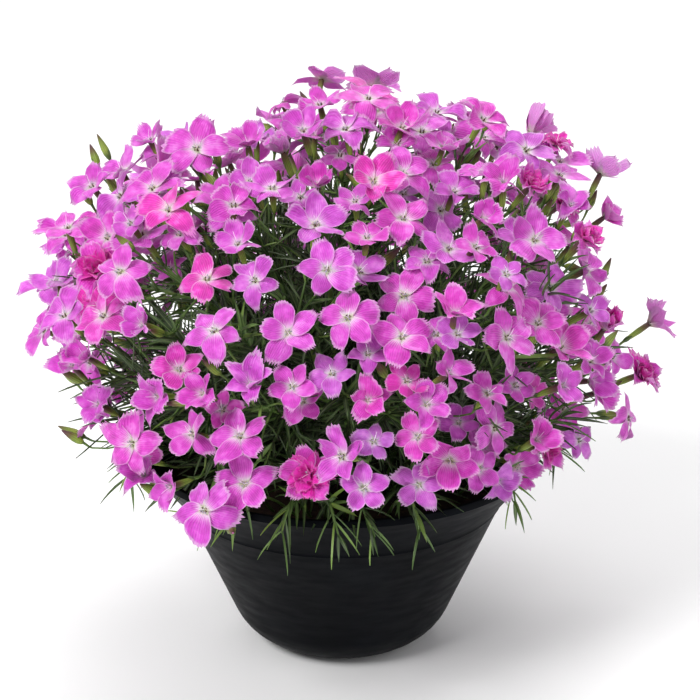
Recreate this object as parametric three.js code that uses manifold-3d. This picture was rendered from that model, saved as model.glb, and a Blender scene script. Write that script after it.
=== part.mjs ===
// Dianthus in flower in a dark plastic bowl pot. The pot holds potting soil, and out of the
// soil fan thin flowering sprays, whose blooms make a dome, and short leafy tufts that fill it.
// Millimetres, +Z up, the origin at the middle of the flat foot that the pot rests on.

import * as THREE from 'three';
import { mergeVertices } from 'three/addons/utils/BufferGeometryUtils.js';
import Module from 'manifold-3d';

const wasm = await Module();
wasm.setup();

// ---------------------------------------------------------------- driving sizes

const clearance = 0.3; // kept between two pieces that touch

// Pot: a small flat foot, a round bend, a straight wall, a thin step and a flared collar.
const potHeight = 116;
const potRimRadius = 111;
const potFootRadius = 30.5;
const potBendRadius = 34;
const potWallAngle = 24.2; // degrees from upright
const potStepHeight = 86.5;
const potStepWidth = 1.3;
const potCollarRadius = 91.6; // just above the step
const potRimDepth = 4;
const potWall = 2.6;
const potSides = 28;
const drainHoleCount = 5;
const drainHoleRadius = 4.5;
const drainHoleCircle = 18;

// Soil: fills the pot to a little under the rim and rises a little to its flat middle.
const soilEdgeHeight = 102;
const soilHeight = 107;
const soilFlatRadius = 60;
const soilSides = 18;

// Plant: blooms lie on a dome around a point at the middle of the soil's surface.
const domeCentre = new THREE.Vector3(0, 0, 112);
const domeReach = 203;
const domeShoulder = 42; // degrees of lean from where the dome draws in
const domeDrawIn = 85; // how much shorter the reach is near level
const domeDrawInPower = 1.7;
const domeSideTrim = 12; // how much less the dome reaches low down on its +X side
const frontLowestLean = 77; // degrees, where the blooms end at the front and the back
const sideLowestLean = 86; // degrees, and at the two sides

const bloomCount = 262; // directions tried over the dome, some of which fall in a gap
const bloomRadius = 16;
const bloomLayers = [0, 5, 11, 1, 17, 7, 24, 3, 13]; // depths under the dome, taken in turn
const petalCount = 5;
const petalHalfAngle = 27; // degrees, at the petal's outer edge
const petalNotch = 0.5; // of the bloom's radius, where two petals part
const petalCup = 8; // degrees that a petal lifts
const fullPetalCup = 42; // on a bloom that is still opening
const bloomTurn = 0.42; // how far a bloom may face away from the dome's own direction
const throatDepth = 1.2; // of the bloom's middle under its centre
const neckDepth = 3.4; // of the calyx's mouth under the bloom's centre
const calyxLength = 15;
const calyxRadius = 1.75;
const calyxFootRadius = 1.25;
const stalkRadius = 0.8;
const budLength = 14;
const budRadius = 2;
const budTipShare = 0.62; // of a bud's length, from its tip to its widest place

const stemRadius = 1.6;
const stemRootHeight = 86;
const stemFirstRun = 28; // of straight stem, most of it in its hole in the soil
const jointHeight = 3.6; // where leaves or flower stalks leave a stem
const knobRadius = 2.3; // the end of a spray, from which its middle flowers fan out
const knobHeight = 3.6;
const knobFaces = 6;
const sprayForkDepth = 56; // from the dome in to the end of a spray's stem
const leafLength = 36;
const leafWidth = 3.4;
const leafThickness = 1;
const leafBendShare = 0.42; // of a leaf's length, from its root to where it starts to droop
const leafDroop = 0.4;

// Spray stems stand in rings. The further a ring is out, the more its stems lean. Leaves and
// flowers grow at joints, which are shares of the stem's run above the soil.
const sprayJoints = { leaves: [0.5], flowers: [0.76] };
const sprayRings = [
  { lean: 0, rootRadius: 0, bearings: [0] },
  { lean: 23, rootRadius: 13, bearings: evenly(6, 20) },
  { lean: 44, rootRadius: 25, bearings: evenly(10, 5) },
  { lean: 64, rootRadius: 37, bearings: evenly(12, 12) },
  { lean: 80, rootRadius: 47, bearings: [-36, -12, 12, 36, 144, 168, 192, 216] },
].map((ring) => ({ ...ring, joints: sprayJoints }));

// Tufts stand between them, as far out as their reach from the dome's centre. The last
// ring hangs its leaves over the rim.
const frontBearings = [-102, -66];
const otherBearings = [0, 62, 90, 118, 180];
const tuftRings = [
  { lean: 14, rootRadius: 19, reach: 140, bearings: [50, 230], leaves: [0.4, 0.6, 0.8, 0.96] },
  { lean: 52, rootRadius: 31, reach: 126, bearings: evenly(4, 44), leaves: [0.27, 0.5, 0.73, 0.94] },
  { lean: 80, rootRadius: 49, reach: 92, bearings: frontBearings, leaves: [0.16, 0.53, 0.88] },
  { lean: 80, rootRadius: 49, reach: 92, bearings: otherBearings, leaves: [0.16, 0.53, 0.88] },
].map(({ leaves, ...ring }) => ({ ...ring, joints: { leaves } }));

// Green openings in the cover of blooms, in degrees: lean, bearing and half width.
const gaps = [
  { lean: 38, bearing: -106, halfWidth: 5 },
  { lean: 64, bearing: -98, halfWidth: 5 },
  { lean: 60, bearing: -138, halfWidth: 6 },
];

// Shallow dips in the dome that run from front to back, by clock angle as below, depth and
// half width in degrees.
const dips = [
  { clock: -103, depth: 12, halfWidth: 8 },
  { clock: -82, depth: 26, halfWidth: 9 },
  { clock: -17, depth: 30, halfWidth: 9 },
  { clock: 12, depth: 6, halfWidth: 8 },
  { clock: 58, depth: 38, halfWidth: 9 },
  { clock: 97, depth: 14, halfWidth: 9 },
];
const dipHalfLength = 34;

// Stalks that stand out of the dome. Their clock angle and reach are those of the outline
// seen from the front and a little above, so they lie in a plane tilted back by that much.
const outlineTilt = 24;
const reachingBlooms = [
  { clock: -61, reach: 190, size: 1.05 },
  { clock: -68, reach: 181, size: 1 },
  { clock: -52, reach: 196, size: 1 },
  { clock: -84, reach: 139, size: 1.1 },
  { clock: 68, reach: 188, size: 0.95, full: true },
  { clock: 76.5, reach: 172, size: 0.8, full: true },
  { clock: 31, reach: 209, size: 1, full: true },
  { clock: 44, reach: 214, size: 1.05 },
  { clock: 48, reach: 205, size: 1 },
  { clock: -3, reach: 210, size: 1.05 },
  { clock: 5, reach: 207, size: 1.05 },
  { clock: 84, reach: 130, size: 1.05 },
];
const reachingBuds = [
  { clock: -38.6, reach: 224 },
  { clock: -41, reach: 205 },
  { clock: -46, reach: 209 },
  { clock: -23, reach: 203 },
  { clock: 13, reach: 206 },
  { clock: 24, reach: 207 },
  { clock: -74, reach: 166 },
  { clock: -69, reach: 152 },
  { clock: -86, reach: 158 },
  { clock: -99, reach: 113 },
  { clock: 70, reach: 150 },
  { clock: 81, reach: 136 },
  { clock: 86, reach: 141 },
  { clock: 55, reach: 186 },
];

// Blooms that close the cover at the front. The last ones stand and hang over the rim.
const frontBlooms = [
  { lean: 20, bearing: -58.6, reach: 188, size: 1 },
  { lean: 31.9, bearing: -99.6, reach: 188, size: 1 },
  { lean: 39.2, bearing: -85.5, reach: 180, size: 0.95 },
  { lean: 44.3, bearing: -119.8, reach: 188, size: 1 },
  { lean: 52.9, bearing: -80.8, reach: 185, size: 1.05 },
  { lean: 72.2, bearing: -101.5, reach: 166, size: 1, full: true },
  { lean: 71.5, bearing: -94.5, reach: 158, size: 0.95 },
  { lean: 76, bearing: -108, reach: 165, size: 1 },
  { lean: 79, bearing: -121, reach: 166, size: 1 },
  { lean: 80, bearing: -113.5, reach: 178, size: 1.05 },
];

// ---------------------------------------------------------------- small helpers

function evenly(count, turn) {
  return Array.from({ length: count }, (unused, index) => turn + (index * 360) / count);
}

const degrees = Math.PI / 180;
const goldenAngle = 137.508;
const upward = new THREE.Vector3(0, 0, 1);

function seededRandom(seed) {
  let state = seed;
  return () => {
    state = (state + 0x6d2b79f5) | 0;
    let mixed = Math.imul(state ^ (state >>> 15), 1 | state);
    mixed = (mixed + Math.imul(mixed ^ (mixed >>> 7), 61 | mixed)) ^ mixed;
    return ((mixed ^ (mixed >>> 14)) >>> 0) / 4294967296;
  };
}

const random = seededRandom(17);

function either(amount) {
  return (random() * 2 - 1) * amount;
}

function randomVector(amount) {
  return new THREE.Vector3(either(amount), either(amount), either(amount));
}

function direction(lean, bearing) {
  return new THREE.Vector3().setFromSphericalCoords(1, lean * degrees, (bearing + 90) * degrees)
    .applyAxisAngle(new THREE.Vector3(1, 0, 0), Math.PI / 2);
}

function leanOf(vector) {
  return vector.angleTo(upward) / degrees;
}

// ---------------------------------------------------------------- solids

function solidOf(geometry) {
  geometry.deleteAttribute('normal');
  geometry.deleteAttribute('uv');
  const merged = mergeVertices(geometry, 1e-3);
  return new wasm.Manifold(new wasm.Mesh({
    numProp: 3,
    vertProperties: merged.attributes.position.array,
    triVerts: Uint32Array.from(merged.index.array),
  }));
}

function geometryOf(solid) {
  const { vertProperties, triVerts } = solid.getMesh();
  const geometry = new THREE.BufferGeometry();
  geometry.setAttribute('position', new THREE.BufferAttribute(vertProperties, 3));
  geometry.setIndex(new THREE.BufferAttribute(triVerts, 1));
  geometry.computeVertexNormals();
  return geometry;
}

// A solid from a closed skin, which is a list of triangles, each with its three corners.
function solidFromSkin(triangles) {
  return solidOf(new THREE.BufferGeometry().setFromPoints(triangles.flat()));
}

// The band between two rings. The near ring is the one further out along the growth, it
// has as many corners as the far ring or a whole multiple of them, or it is a single tip.
// Rings run anticlockwise as seen from their growing end.
function band(near, far) {
  if (near.length === 1) {
    return far.map((corner, index) => [near[0], corner, far[(index + 1) % far.length]]);
  }
  const triangles = [];
  near.forEach((corner, index) => {
    const after = (index + 1) % near.length;
    const facing = Math.floor((index * far.length) / near.length);
    const facingAfter = Math.floor((after * far.length) / near.length);
    triangles.push([corner, far[facing], near[after]]);
    if (facing !== facingAfter) {
      triangles.push([near[after], far[facing], far[facingAfter]]);
    }
  });
  return triangles;
}

function loft(rings) {
  return rings.slice(1).flatMap((ring, index) => band(rings[index], ring));
}

// Closes a ring of three corners that growth starts from.
function rootCap([first, second, third]) {
  return [first, third, second];
}

function roundRing(centre, radius, corners, firstAngle, axes) {
  const ring = [];
  for (let i = 0; i < corners; i += 1) {
    const angle = (firstAngle + (i * 360) / corners) * degrees;
    ring.push(centre.clone()
      .addScaledVector(axes.x, radius * Math.cos(angle))
      .addScaledVector(axes.y, radius * Math.sin(angle)));
  }
  return ring;
}

function middleOf(corners) {
  return corners.reduce((sum, corner) => sum.add(corner), new THREE.Vector3())
    .divideScalar(corners.length);
}

// Axes for a ring that faces a direction, reached from a root triangle without a twist.
function axesFrom(root, ...turns) {
  const start = middleOf(root);
  const x = root[0].clone().sub(start).normalize();
  let facing = normalOf(root);
  for (const turn of turns) {
    x.applyQuaternion(new THREE.Quaternion().setFromUnitVectors(facing, turn));
    facing = turn;
  }
  return { x, y: facing.clone().cross(x), z: facing };
}

function normalOf(corners) {
  return new THREE.Triangle(...corners).getNormal(new THREE.Vector3());
}

function runTo(target, start) {
  return target.clone().sub(start).normalize();
}

// ---------------------------------------------------------------- pot and soil

function potOutline() {
  const bend = potBendRadius;
  const bendEnd = 90 - potWallAngle;
  const points = [new THREE.Vector2(0, 0), new THREE.Vector2(potFootRadius, 0)];
  for (let i = 1; i <= 3; i += 1) {
    const angle = (bendEnd * i * degrees) / 3;
    const height = bend * (1 - Math.cos(angle));
    points.push(new THREE.Vector2(potFootRadius + bend * Math.sin(angle), height));
  }
  points.push(new THREE.Vector2(potCollarRadius - potStepWidth, potStepHeight));
  return points;
}

// The inside, from the floor's edge up to the step.
function insideOutline() {
  const [, foot, , bend, wallFoot, wallTop] = potOutline();
  return [
    new THREE.Vector2(foot.x, potWall),
    ...[bend, wallFoot, wallTop].map(({ x, y }) => new THREE.Vector2(x - potWall, y + potWall * 0.6)),
  ];
}

function buildPot() {
  const wall = potOutline();
  const outline = [
    ...wall,
    new THREE.Vector2(potCollarRadius, potStepHeight + 0.8),
    new THREE.Vector2(potRimRadius, potHeight - potRimDepth),
    new THREE.Vector2(potRimRadius, potHeight - 0.8),
    new THREE.Vector2(potRimRadius - 0.8, potHeight),
    new THREE.Vector2(potRimRadius - potWall, potHeight),
    ...insideOutline().reverse(),
    new THREE.Vector2(0, potWall),
  ];
  let shell = solidOf(new THREE.LatheGeometry(outline, potSides).rotateX(Math.PI / 2));
  for (let i = 0; i < drainHoleCount; i += 1) {
    const angle = (i * 360 * degrees) / drainHoleCount;
    const hole = new THREE.CylinderGeometry(drainHoleRadius, drainHoleRadius, potWall * 4, 6);
    hole.rotateX(Math.PI / 2);
    hole.translate(drainHoleCircle * Math.cos(angle), drainHoleCircle * Math.sin(angle), 0);
    shell = shell.subtract(solidOf(hole));
  }
  return shell;
}

function insideRadius(height) {
  const low = insideOutline().at(-1);
  const rim = potRimRadius - potWall;
  return low.x + ((rim - low.x) * (height - low.y)) / (potHeight - low.y);
}

// The soil stays clear of the pot's flat facets, so its corners keep to their inner circle.
function buildSoil() {
  const facetFit = Math.cos(Math.PI / potSides);
  const gap = clearance * 1.2;
  const [floor, ...side] = insideOutline();
  const outline = [
    new THREE.Vector2(0, floor.y + gap),
    new THREE.Vector2(floor.x * facetFit - gap * 2, floor.y + gap),
    ...side.map(({ x, y }) => new THREE.Vector2(x * facetFit - gap, y)),
    new THREE.Vector2(insideRadius(soilEdgeHeight) * facetFit - gap, soilEdgeHeight),
    new THREE.Vector2(soilFlatRadius, soilHeight),
    new THREE.Vector2(0, soilHeight),
  ];
  return solidOf(new THREE.LatheGeometry(outline, soilSides).rotateX(Math.PI / 2));
}

// Every stem stands in a plain hole of its own.
function cutStemHoles(soil, stems) {
  return stems.reduce((bed, { holeRings }) => {
    const hole = [...loft(holeRings), rootCap(holeRings[1]), holeRings[0]];
    return bed.subtract(solidFromSkin(hole));
  }, soil);
}

// ---------------------------------------------------------------- the dome of blooms

function reachAt(way) {
  const lean = leanOf(way);
  const low = Math.max(0, (lean - domeShoulder) / (90 - domeShoulder));
  const trim = domeSideTrim * Math.max(0, way.x) * (lean / 90) ** 3;
  const seen = clockOf(way);
  const dip = dips.reduce((sum, { clock, depth, halfWidth }) => {
    const aside = (seen.clock - clock) / halfWidth;
    const along = seen.behind / dipHalfLength;
    return sum + depth * Math.exp(-(aside ** 2) - along ** 2);
  }, 0);
  return domeReach - domeDrawIn * low ** domeDrawInPower - trim - dip;
}

function lowestLean(bearing) {
  const sideways = Math.cos(bearing * degrees) ** 2;
  return frontLowestLean + (sideLowestLean - frontLowestLean) * sideways;
}

function inGap(way) {
  return gaps.some(({ lean, bearing, halfWidth }) => (
    way.angleTo(direction(lean, bearing)) < halfWidth * degrees
  ));
}

function outlineWay(clock) {
  const tilt = -outlineTilt * degrees;
  return new THREE.Vector3(Math.sin(clock * degrees), 0, Math.cos(clock * degrees))
    .applyAxisAngle(new THREE.Vector3(1, 0, 0), tilt);
}

// The clock angle of a direction, and how far it lies behind the outline's plane, in degrees.
function clockOf(way) {
  const tilt = outlineTilt * degrees;
  const { x, y, z } = way.clone().applyAxisAngle(new THREE.Vector3(1, 0, 0), tilt);
  return { clock: Math.atan2(x, z) / degrees, behind: Math.asin(y) / degrees };
}

function domePoint(way, reach) {
  return domeCentre.clone().addScaledVector(way, reach);
}

// ---------------------------------------------------------------- stems

// A stem rises out of the soil and leans out to its end in its own upright plane. Its skin
// is a row of three-cornered rings. At a joint the section turns by 60 degrees, which
// makes six triangular faces, and each of them is a site where a leaf or flower can grow.
function buildStem(ring, bearing, reachOf) {
  const lean = ring.lean + (ring.lean ? either(4) : 0);
  const level = direction(90, bearing);
  const end = domePoint(direction(lean, bearing), reachOf(direction(lean, bearing)));
  const root = level.clone().multiplyScalar(ring.rootRadius).setZ(stemRootHeight);
  const endRadius = Math.hypot(end.x, end.y);
  const bow = level.clone()
    .multiplyScalar(ring.rootRadius + (endRadius - ring.rootRadius) * 0.22)
    .setZ(stemRootHeight + (end.z - stemRootHeight) * 0.72);
  const path = new THREE.QuadraticBezierCurve3(root, bow, end);
  const stem = { path, level, way: direction(lean, bearing), skin: [], sites: [], flowers: [] };
  growStem(stem, ring.joints);
  stem.solid = solidFromSkin([...stem.skin, ...stem.sites.map(({ corners }) => corners)]);
  return stem;
}

function buildStems(rings, reachOf) {
  return rings.flatMap((ring) => (
    ring.bearings.map((bearing) => buildStem(ring, bearing, (way) => reachOf(way, ring)))
  ));
}

function growStem(stem, { leaves, flowers = [] }) {
  const { path, skin, sites } = stem;
  const length = path.getLength();
  const firstShare = stemFirstRun / length;
  const aboveSoil = (share) => firstShare + (1 - firstShare) * share;
  const section = (share, radius, turn) => {
    const along = path.getTangentAt(share);
    const side = upward.clone().cross(stem.level);
    const axes = { x: side, y: along.clone().cross(side), z: along };
    return roundRing(path.getPointAt(share), radius, 3, turn, axes);
  };
  const stops = [
    { share: firstShare },
    ...leaves.map((share) => ({ share: aboveSoil(share), kind: 'leaf' })),
    ...flowers.map((share) => ({ share: aboveSoil(share), kind: 'flower' })),
  ];
  let turn = 30;
  let last = section(0, stemRadius, turn);
  skin.push(rootCap(last));
  const holeRadius = stemRadius + clearance * 3;
  stem.holeRings = [firstShare, 0].map((share) => section(share, holeRadius, turn));
  stem.holeRings[1].forEach((corner) => corner.setZ(corner.z - clearance * 2));
  for (const { share, kind } of stops) {
    const next = section(share, stemRadius, turn);
    skin.push(...band(next, last));
    last = next;
    if (kind) {
      turn += 60;
      const above = section(Math.min(1, share + jointHeight / length), stemRadius, turn);
      addJointSites(sites, last, above, kind, path.getTangentAt(share));
      last = above;
    }
  }
  const along = path.getTangentAt(1);
  const end = path.getPointAt(1);
  if (flowers.length) {
    addKnob(stem, last, turn, end, along);
  } else {
    const tip = end.clone().addScaledVector(along, jointHeight * 2);
    skin.push(...band([tip], last));
  }
}

function addJointSites(sites, below, above, kind, along) {
  const joint = {};
  for (let i = 0; i < 3; i += 1) {
    const after = (i + 1) % 3;
    sites.push({ kind, joint, along, corners: [above[i], below[i], below[after]] });
    sites.push({ kind, joint, along, corners: [below[after], above[after], above[i]] });
  }
}

function addKnob(stem, last, turn, end, along) {
  const side = upward.clone().cross(stem.level);
  const axes = { x: side, y: along.clone().cross(side), z: along };
  const rim = roundRing(end, knobRadius, knobFaces, turn - 30, axes);
  const top = end.clone().addScaledVector(along, knobHeight);
  const joint = {};
  stem.skin.push(...band(rim, last));
  rim.forEach((corner, index) => {
    const corners = [top, corner, rim[(index + 1) % knobFaces]];
    stem.sites.push({ kind: 'flower', isKnob: true, joint, corners });
  });
}

// ---------------------------------------------------------------- blooms, buds and leaves

function petalCorner(angle, length, lift) {
  return new THREE.Vector3(length * Math.cos(lift * degrees), 0, length * Math.sin(lift * degrees))
    .applyAxisAngle(upward, angle * degrees);
}

// Five petals around a throat, in the bloom's own axes with its face to +Z.
function bloomOutline(radius, cup, unevenness) {
  const outline = [];
  for (let petal = 0; petal < petalCount; petal += 1) {
    const middle = (petal * 360) / petalCount;
    const turn = middle + either(2.5);
    const length = radius * (1 + either(0.07));
    const lift = cup + either(unevenness);
    const twist = either(unevenness * 0.4);
    outline.push(petalCorner(middle - 180 / petalCount, radius * petalNotch, cup * 0.5));
    outline.push(petalCorner(turn - petalHalfAngle, length * (0.95 + either(0.04)), lift - twist));
    outline.push(petalCorner(turn + petalHalfAngle, length * (0.95 + either(0.04)), lift + twist));
  }
  return outline;
}

// The outline in space, started where each third of it faces a corner of the calyx.
function placeOutline(points, centre, facing, calyxTop) {
  const across = calyxTop[0].clone().sub(centre).cross(facing).normalize();
  const axes = { x: across, y: facing.clone().cross(across), z: facing };
  const turn = new THREE.Matrix4().makeRotationZ(either(Math.PI));
  const placing = new THREE.Matrix4().makeBasis(axes.x, axes.y, axes.z).setPosition(centre);
  const outline = points.map((point) => point.clone().applyMatrix4(turn).applyMatrix4(placing));
  const toCorner = calyxTop[0].clone().sub(centre);
  toCorner.addScaledVector(facing, -toCorner.dot(facing));
  const nearest = outline.reduce((best, point, index) => (
    point.clone().sub(centre).angleTo(toCorner) < outline[best].clone().sub(centre).angleTo(toCorner)
      ? index : best
  ), 0);
  const shift = (nearest - Math.floor(points.length / 6) + points.length) % points.length;
  return [...outline.slice(shift), ...outline.slice(0, shift)];
}

// From the throat out to the petals' edge, back under them to the calyx and down the stalk.
function bloomRings(centre, facing, root, radius, cup, unevenness) {
  const neck = centre.clone().addScaledVector(facing, -neckDepth);
  const foot = neck.clone().addScaledVector(facing, -calyxLength);
  const axes = axesFrom(root, runTo(foot, middleOf(root)), facing);
  const calyxTop = roundRing(neck, calyxRadius, 3, 0, axes);
  const calyxFoot = roundRing(foot, calyxFootRadius, 3, 0, axes);
  const points = bloomOutline(radius, cup, unevenness);
  const outline = placeOutline(points, centre, facing, calyxTop);
  const throat = centre.clone().addScaledVector(facing, -throatDepth);
  return [[throat], outline, calyxTop, calyxFoot, root];
}

function budRings(tip, facing, root) {
  const belly = tip.clone().addScaledVector(facing, -budLength * budTipShare);
  const foot = tip.clone().addScaledVector(facing, -budLength);
  const axes = axesFrom(root, runTo(foot, middleOf(root)), facing);
  return [
    [tip],
    roundRing(belly, budRadius, 3, 0, axes),
    roundRing(foot, stalkRadius, 3, 0, axes),
    root,
  ];
}

// A narrow blade that leaves its stem at a slant, arches out and droops at its tip.
function leafRings(root, along, rise, swing, length) {
  const start = middleOf(root);
  const face = normalOf(root);
  const out = face.clone().addScaledVector(along, -face.dot(along)).normalize()
    .applyAxisAngle(along, swing * degrees);
  const run = out.multiplyScalar(Math.cos(rise * degrees))
    .addScaledVector(along, Math.sin(rise * degrees));
  const middle = start.clone().addScaledVector(run, length * leafBendShare);
  const { x: ridge, y: across } = axesFrom(root, run);
  const droop = run.clone().addScaledVector(upward, -leafDroop).normalize();
  const tip = middle.clone().addScaledVector(droop, length * (1 - leafBendShare));
  return [[tip], [
    middle.clone().addScaledVector(ridge, leafThickness),
    middle.clone().addScaledVector(across, leafWidth / 2),
    middle.clone().addScaledVector(across, -leafWidth / 2),
  ], root];
}

// ---------------------------------------------------------------- placing without touching

const placed = [];
const smallestOverlap = 1e-4;
const bloomTries = 160;
const budTries = 120;
const leafTries = 16;

function boxAround(solid) {
  const { min, max } = solid.boundingBox();
  return new THREE.Box3(new THREE.Vector3(...min), new THREE.Vector3(...max))
    .expandByScalar(clearance);
}

function areApart(one, other) {
  const needed = clearance * 1.2;
  return !one.box.intersectsBox(other.box)
    || one.solid.minGap(other.solid, needed * 2) > needed;
}

function pieceOf(skin, joint) {
  const solid = solidFromSkin(skin);
  return { solid, joint, box: boxAround(solid) };
}

// Pieces that grow from one joint share its corners, so they touch but don't overlap.
function isClear(piece, stem) {
  return placed.every((other) => {
    if (other.solid === stem.solid || other.joint === piece.joint) {
      return !piece.box.intersectsBox(other.box)
        || piece.solid.intersect(other.solid).volume() < smallestOverlap;
    }
    return areApart(piece, other);
  });
}

// A piece leaves its site outwards and doesn't bend back on itself at its first bend.
function runsOutwards(rings) {
  const [bend, foot, root] = rings.slice(-3).map(middleOf);
  const first = runTo(foot, root);
  return first.dot(normalOf(rings.at(-1))) > 0.25 && runTo(bend, foot).dot(first) > 0.4;
}

// A skin that crosses itself encloses some space twice, which joining with itself removes.
function isSimple(solid) {
  return Math.abs(solid.volume() - solid.add(solid).volume()) < smallestOverlap * 10;
}

// Tries more and more different ways to grow a piece from a site, until one is clear. A
// site where none of them is clear stays bare.
function settle(site, stem, tries, makeRings) {
  for (let i = 0; i < tries; i += 1) {
    const rings = makeRings(i / tries);
    const piece = pieceOf([...loft(rings), rootCap(site.corners)], site.joint);
    if (runsOutwards(rings) && isSimple(piece.solid) && isClear(piece, stem)) {
      placed.push(piece);
      site.rings = rings;
      return;
    }
    piece.solid.delete();
  }
}

function settleBloom(flower, stem) {
  const slack = flower.clock === undefined ? 1 : 0.35;
  settle(flower.site, stem, bloomTries, (trouble) => {
    const stray = randomVector((0.03 + 0.09 * trouble) * slack);
    const way = flower.way.clone().add(stray).normalize();
    const centre = domePoint(way, flower.reach - trouble * 26 * slack);
    const facing = way.clone()
      .addScaledVector(upward, 0.2)
      .add(randomVector(bloomTurn))
      .normalize();
    const radius = bloomRadius * flower.size * (1 - 0.12 * trouble);
    const cup = flower.full ? fullPetalCup : petalCup + either(10);
    return bloomRings(centre, facing, flower.site.corners, radius, cup, flower.full ? 6 : 13);
  });
}

function settleBud(flower, stem) {
  settle(flower.site, stem, budTries, (trouble) => {
    const way = flower.way.clone().add(randomVector(0.02 + 0.12 * trouble)).normalize();
    const tip = domePoint(way, flower.reach - trouble * 20);
    const facing = way.clone().addScaledVector(upward, 0.5).add(randomVector(0.3)).normalize();
    return budRings(tip, facing, flower.site.corners);
  });
}

function settleLeaf(site, stem) {
  settle(site, stem, leafTries, (trouble) => {
    const rise = 34 + either(16);
    const length = leafLength * (1 - 0.4 * trouble) * (1 + either(0.12));
    return leafRings(site.corners, site.along, rise, either(18), length);
  });
}

// ---------------------------------------------------------------- the plant

// Every flower goes to the nearest spray that has room for it.
function shareOut(flowers, stems, room) {
  for (const flower of flowers) {
    const open = stems.filter((stem) => stem.flowers.length < room);
    open.sort((a, b) => a.way.angleTo(flower.way) - b.way.angleTo(flower.way));
    open[0].flowers.push(flower);
  }
}

// The flowers nearest the stem's own line grow from its knob, the others from the joint
// below it, each from the free face that looks its way the most.
function chooseSites(stem) {
  stem.flowers.sort((a, b) => stem.way.angleTo(a.way) - stem.way.angleTo(b.way));
  const onKnob = Math.min(knobFaces - 1, Math.ceil(stem.flowers.length * 0.7));
  const groups = [stem.flowers.slice(0, onKnob), stem.flowers.slice(onKnob)];
  groups.forEach((group, isLower) => {
    const free = stem.sites.filter((site) => site.kind === 'flower' && !site.isKnob === !!isLower);
    for (const flower of group.reverse()) {
      const target = domePoint(flower.way, flower.reach);
      const look = ({ corners }) => {
        return normalOf(corners).dot(runTo(target, middleOf(corners)));
      };
      free.sort((a, b) => look(b) - look(a));
      flower.site = free.shift();
    }
  });
}

function domeFlowers() {
  const flowers = [];
  for (let i = 0; i < bloomCount; i += 1) {
    const fall = ((i + 0.5) / bloomCount) * (1 - Math.cos(sideLowestLean * degrees));
    const lean = Math.acos(1 - fall) / degrees;
    const way = direction(lean, i * goldenAngle);
    const depth = bloomLayers[i % bloomLayers.length];
    if (lean < lowestLean(i * goldenAngle) && !inGap(way)) {
      flowers.push({ way, reach: reachAt(way) - depth, size: 1 + either(0.08) });
    }
  }
  return flowers;
}

function growFlowers(sprays) {
  const reaching = [
    ...reachingBlooms.map((bloom) => ({ ...bloom, way: outlineWay(bloom.clock) })),
    ...frontBlooms.map((bloom) => ({ ...bloom, way: direction(bloom.lean, bloom.bearing) })),
  ];
  const buds = reachingBuds.map((bud) => ({ ...bud, way: outlineWay(bud.clock), isBud: true }));
  const near = (flower) => reaching.some(({ way }) => way.angleTo(flower.way) < 6 * degrees);
  shareOut([...reaching, ...buds], sprays, 3);
  shareOut(domeFlowers().filter((flower) => !near(flower)), sprays, 9);
  sprays.forEach(chooseSites);
  const depth = ({ reach, way }) => reachAt(way) - reach;
  const queue = sprays.flatMap((stem) => stem.flowers.map((flower) => ({ flower, stem })));
  queue.sort((a, b) => depth(a.flower) - depth(b.flower));
  for (const { flower, stem } of queue) {
    if (flower.isBud) {
      settleBud(flower, stem);
    } else {
      settleBloom(flower, stem);
    }
  }
}

function growLeaves(stems) {
  for (const stem of stems) {
    for (const site of stem.sites.filter(({ kind }) => kind === 'leaf')) {
      settleLeaf(site, stem);
    }
  }
}

// The whole skin of a stem: its own, and at every site what grew there or the bare face.
function grownSolid({ skin, sites }) {
  const grown = sites.flatMap(({ rings, corners }) => (rings ? loft(rings) : [corners]));
  return solidFromSkin([...skin, ...grown]);
}

// ---------------------------------------------------------------- the whole

function addPiece(group, name, solid, color, roughness) {
  const material = new THREE.MeshStandardMaterial({ color, roughness, metalness: 0 });
  const mesh = new THREE.Mesh(geometryOf(solid), material);
  mesh.name = name;
  group.add(mesh);
}

const numbered = (name, index) => `${name}_${String(index + 1).padStart(2, '0')}`;

const pot = buildPot();
const soil = buildSoil();
const sprays = buildStems(sprayRings, (way) => reachAt(way) - sprayForkDepth);
const tufts = buildStems(tuftRings, (way, { reach }) => reach);
const stems = [...sprays, ...tufts];
for (const solid of [pot, soil, ...stems.map((stem) => stem.solid)]) {
  placed.push({ solid, box: boxAround(solid) });
}
growFlowers(sprays);
growLeaves(stems);

const dianthus = new THREE.Group();
addPiece(dianthus, 'pot', pot, '#1b1c20', 0.55);
addPiece(dianthus, 'soil', cutStemHoles(soil, stems), '#2a1d14', 0.95);
sprays.forEach((stem, index) => {
  addPiece(dianthus, numbered('spray', index), grownSolid(stem), '#d655c4', 0.6);
});
tufts.forEach((stem, index) => {
  addPiece(dianthus, numbered('tuft', index), grownSolid(stem), '#31502c', 0.6);
});

export default dianthus;
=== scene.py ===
# Dianthus in flower in a black plastic bowl pot.
# The camera and the floor come first, then the pot, the soil, and spray by spray the petals and the greens.

import math
import random

import bmesh
import bpy
from mathutils import Matrix, Quaternion, Vector, noise


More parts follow.
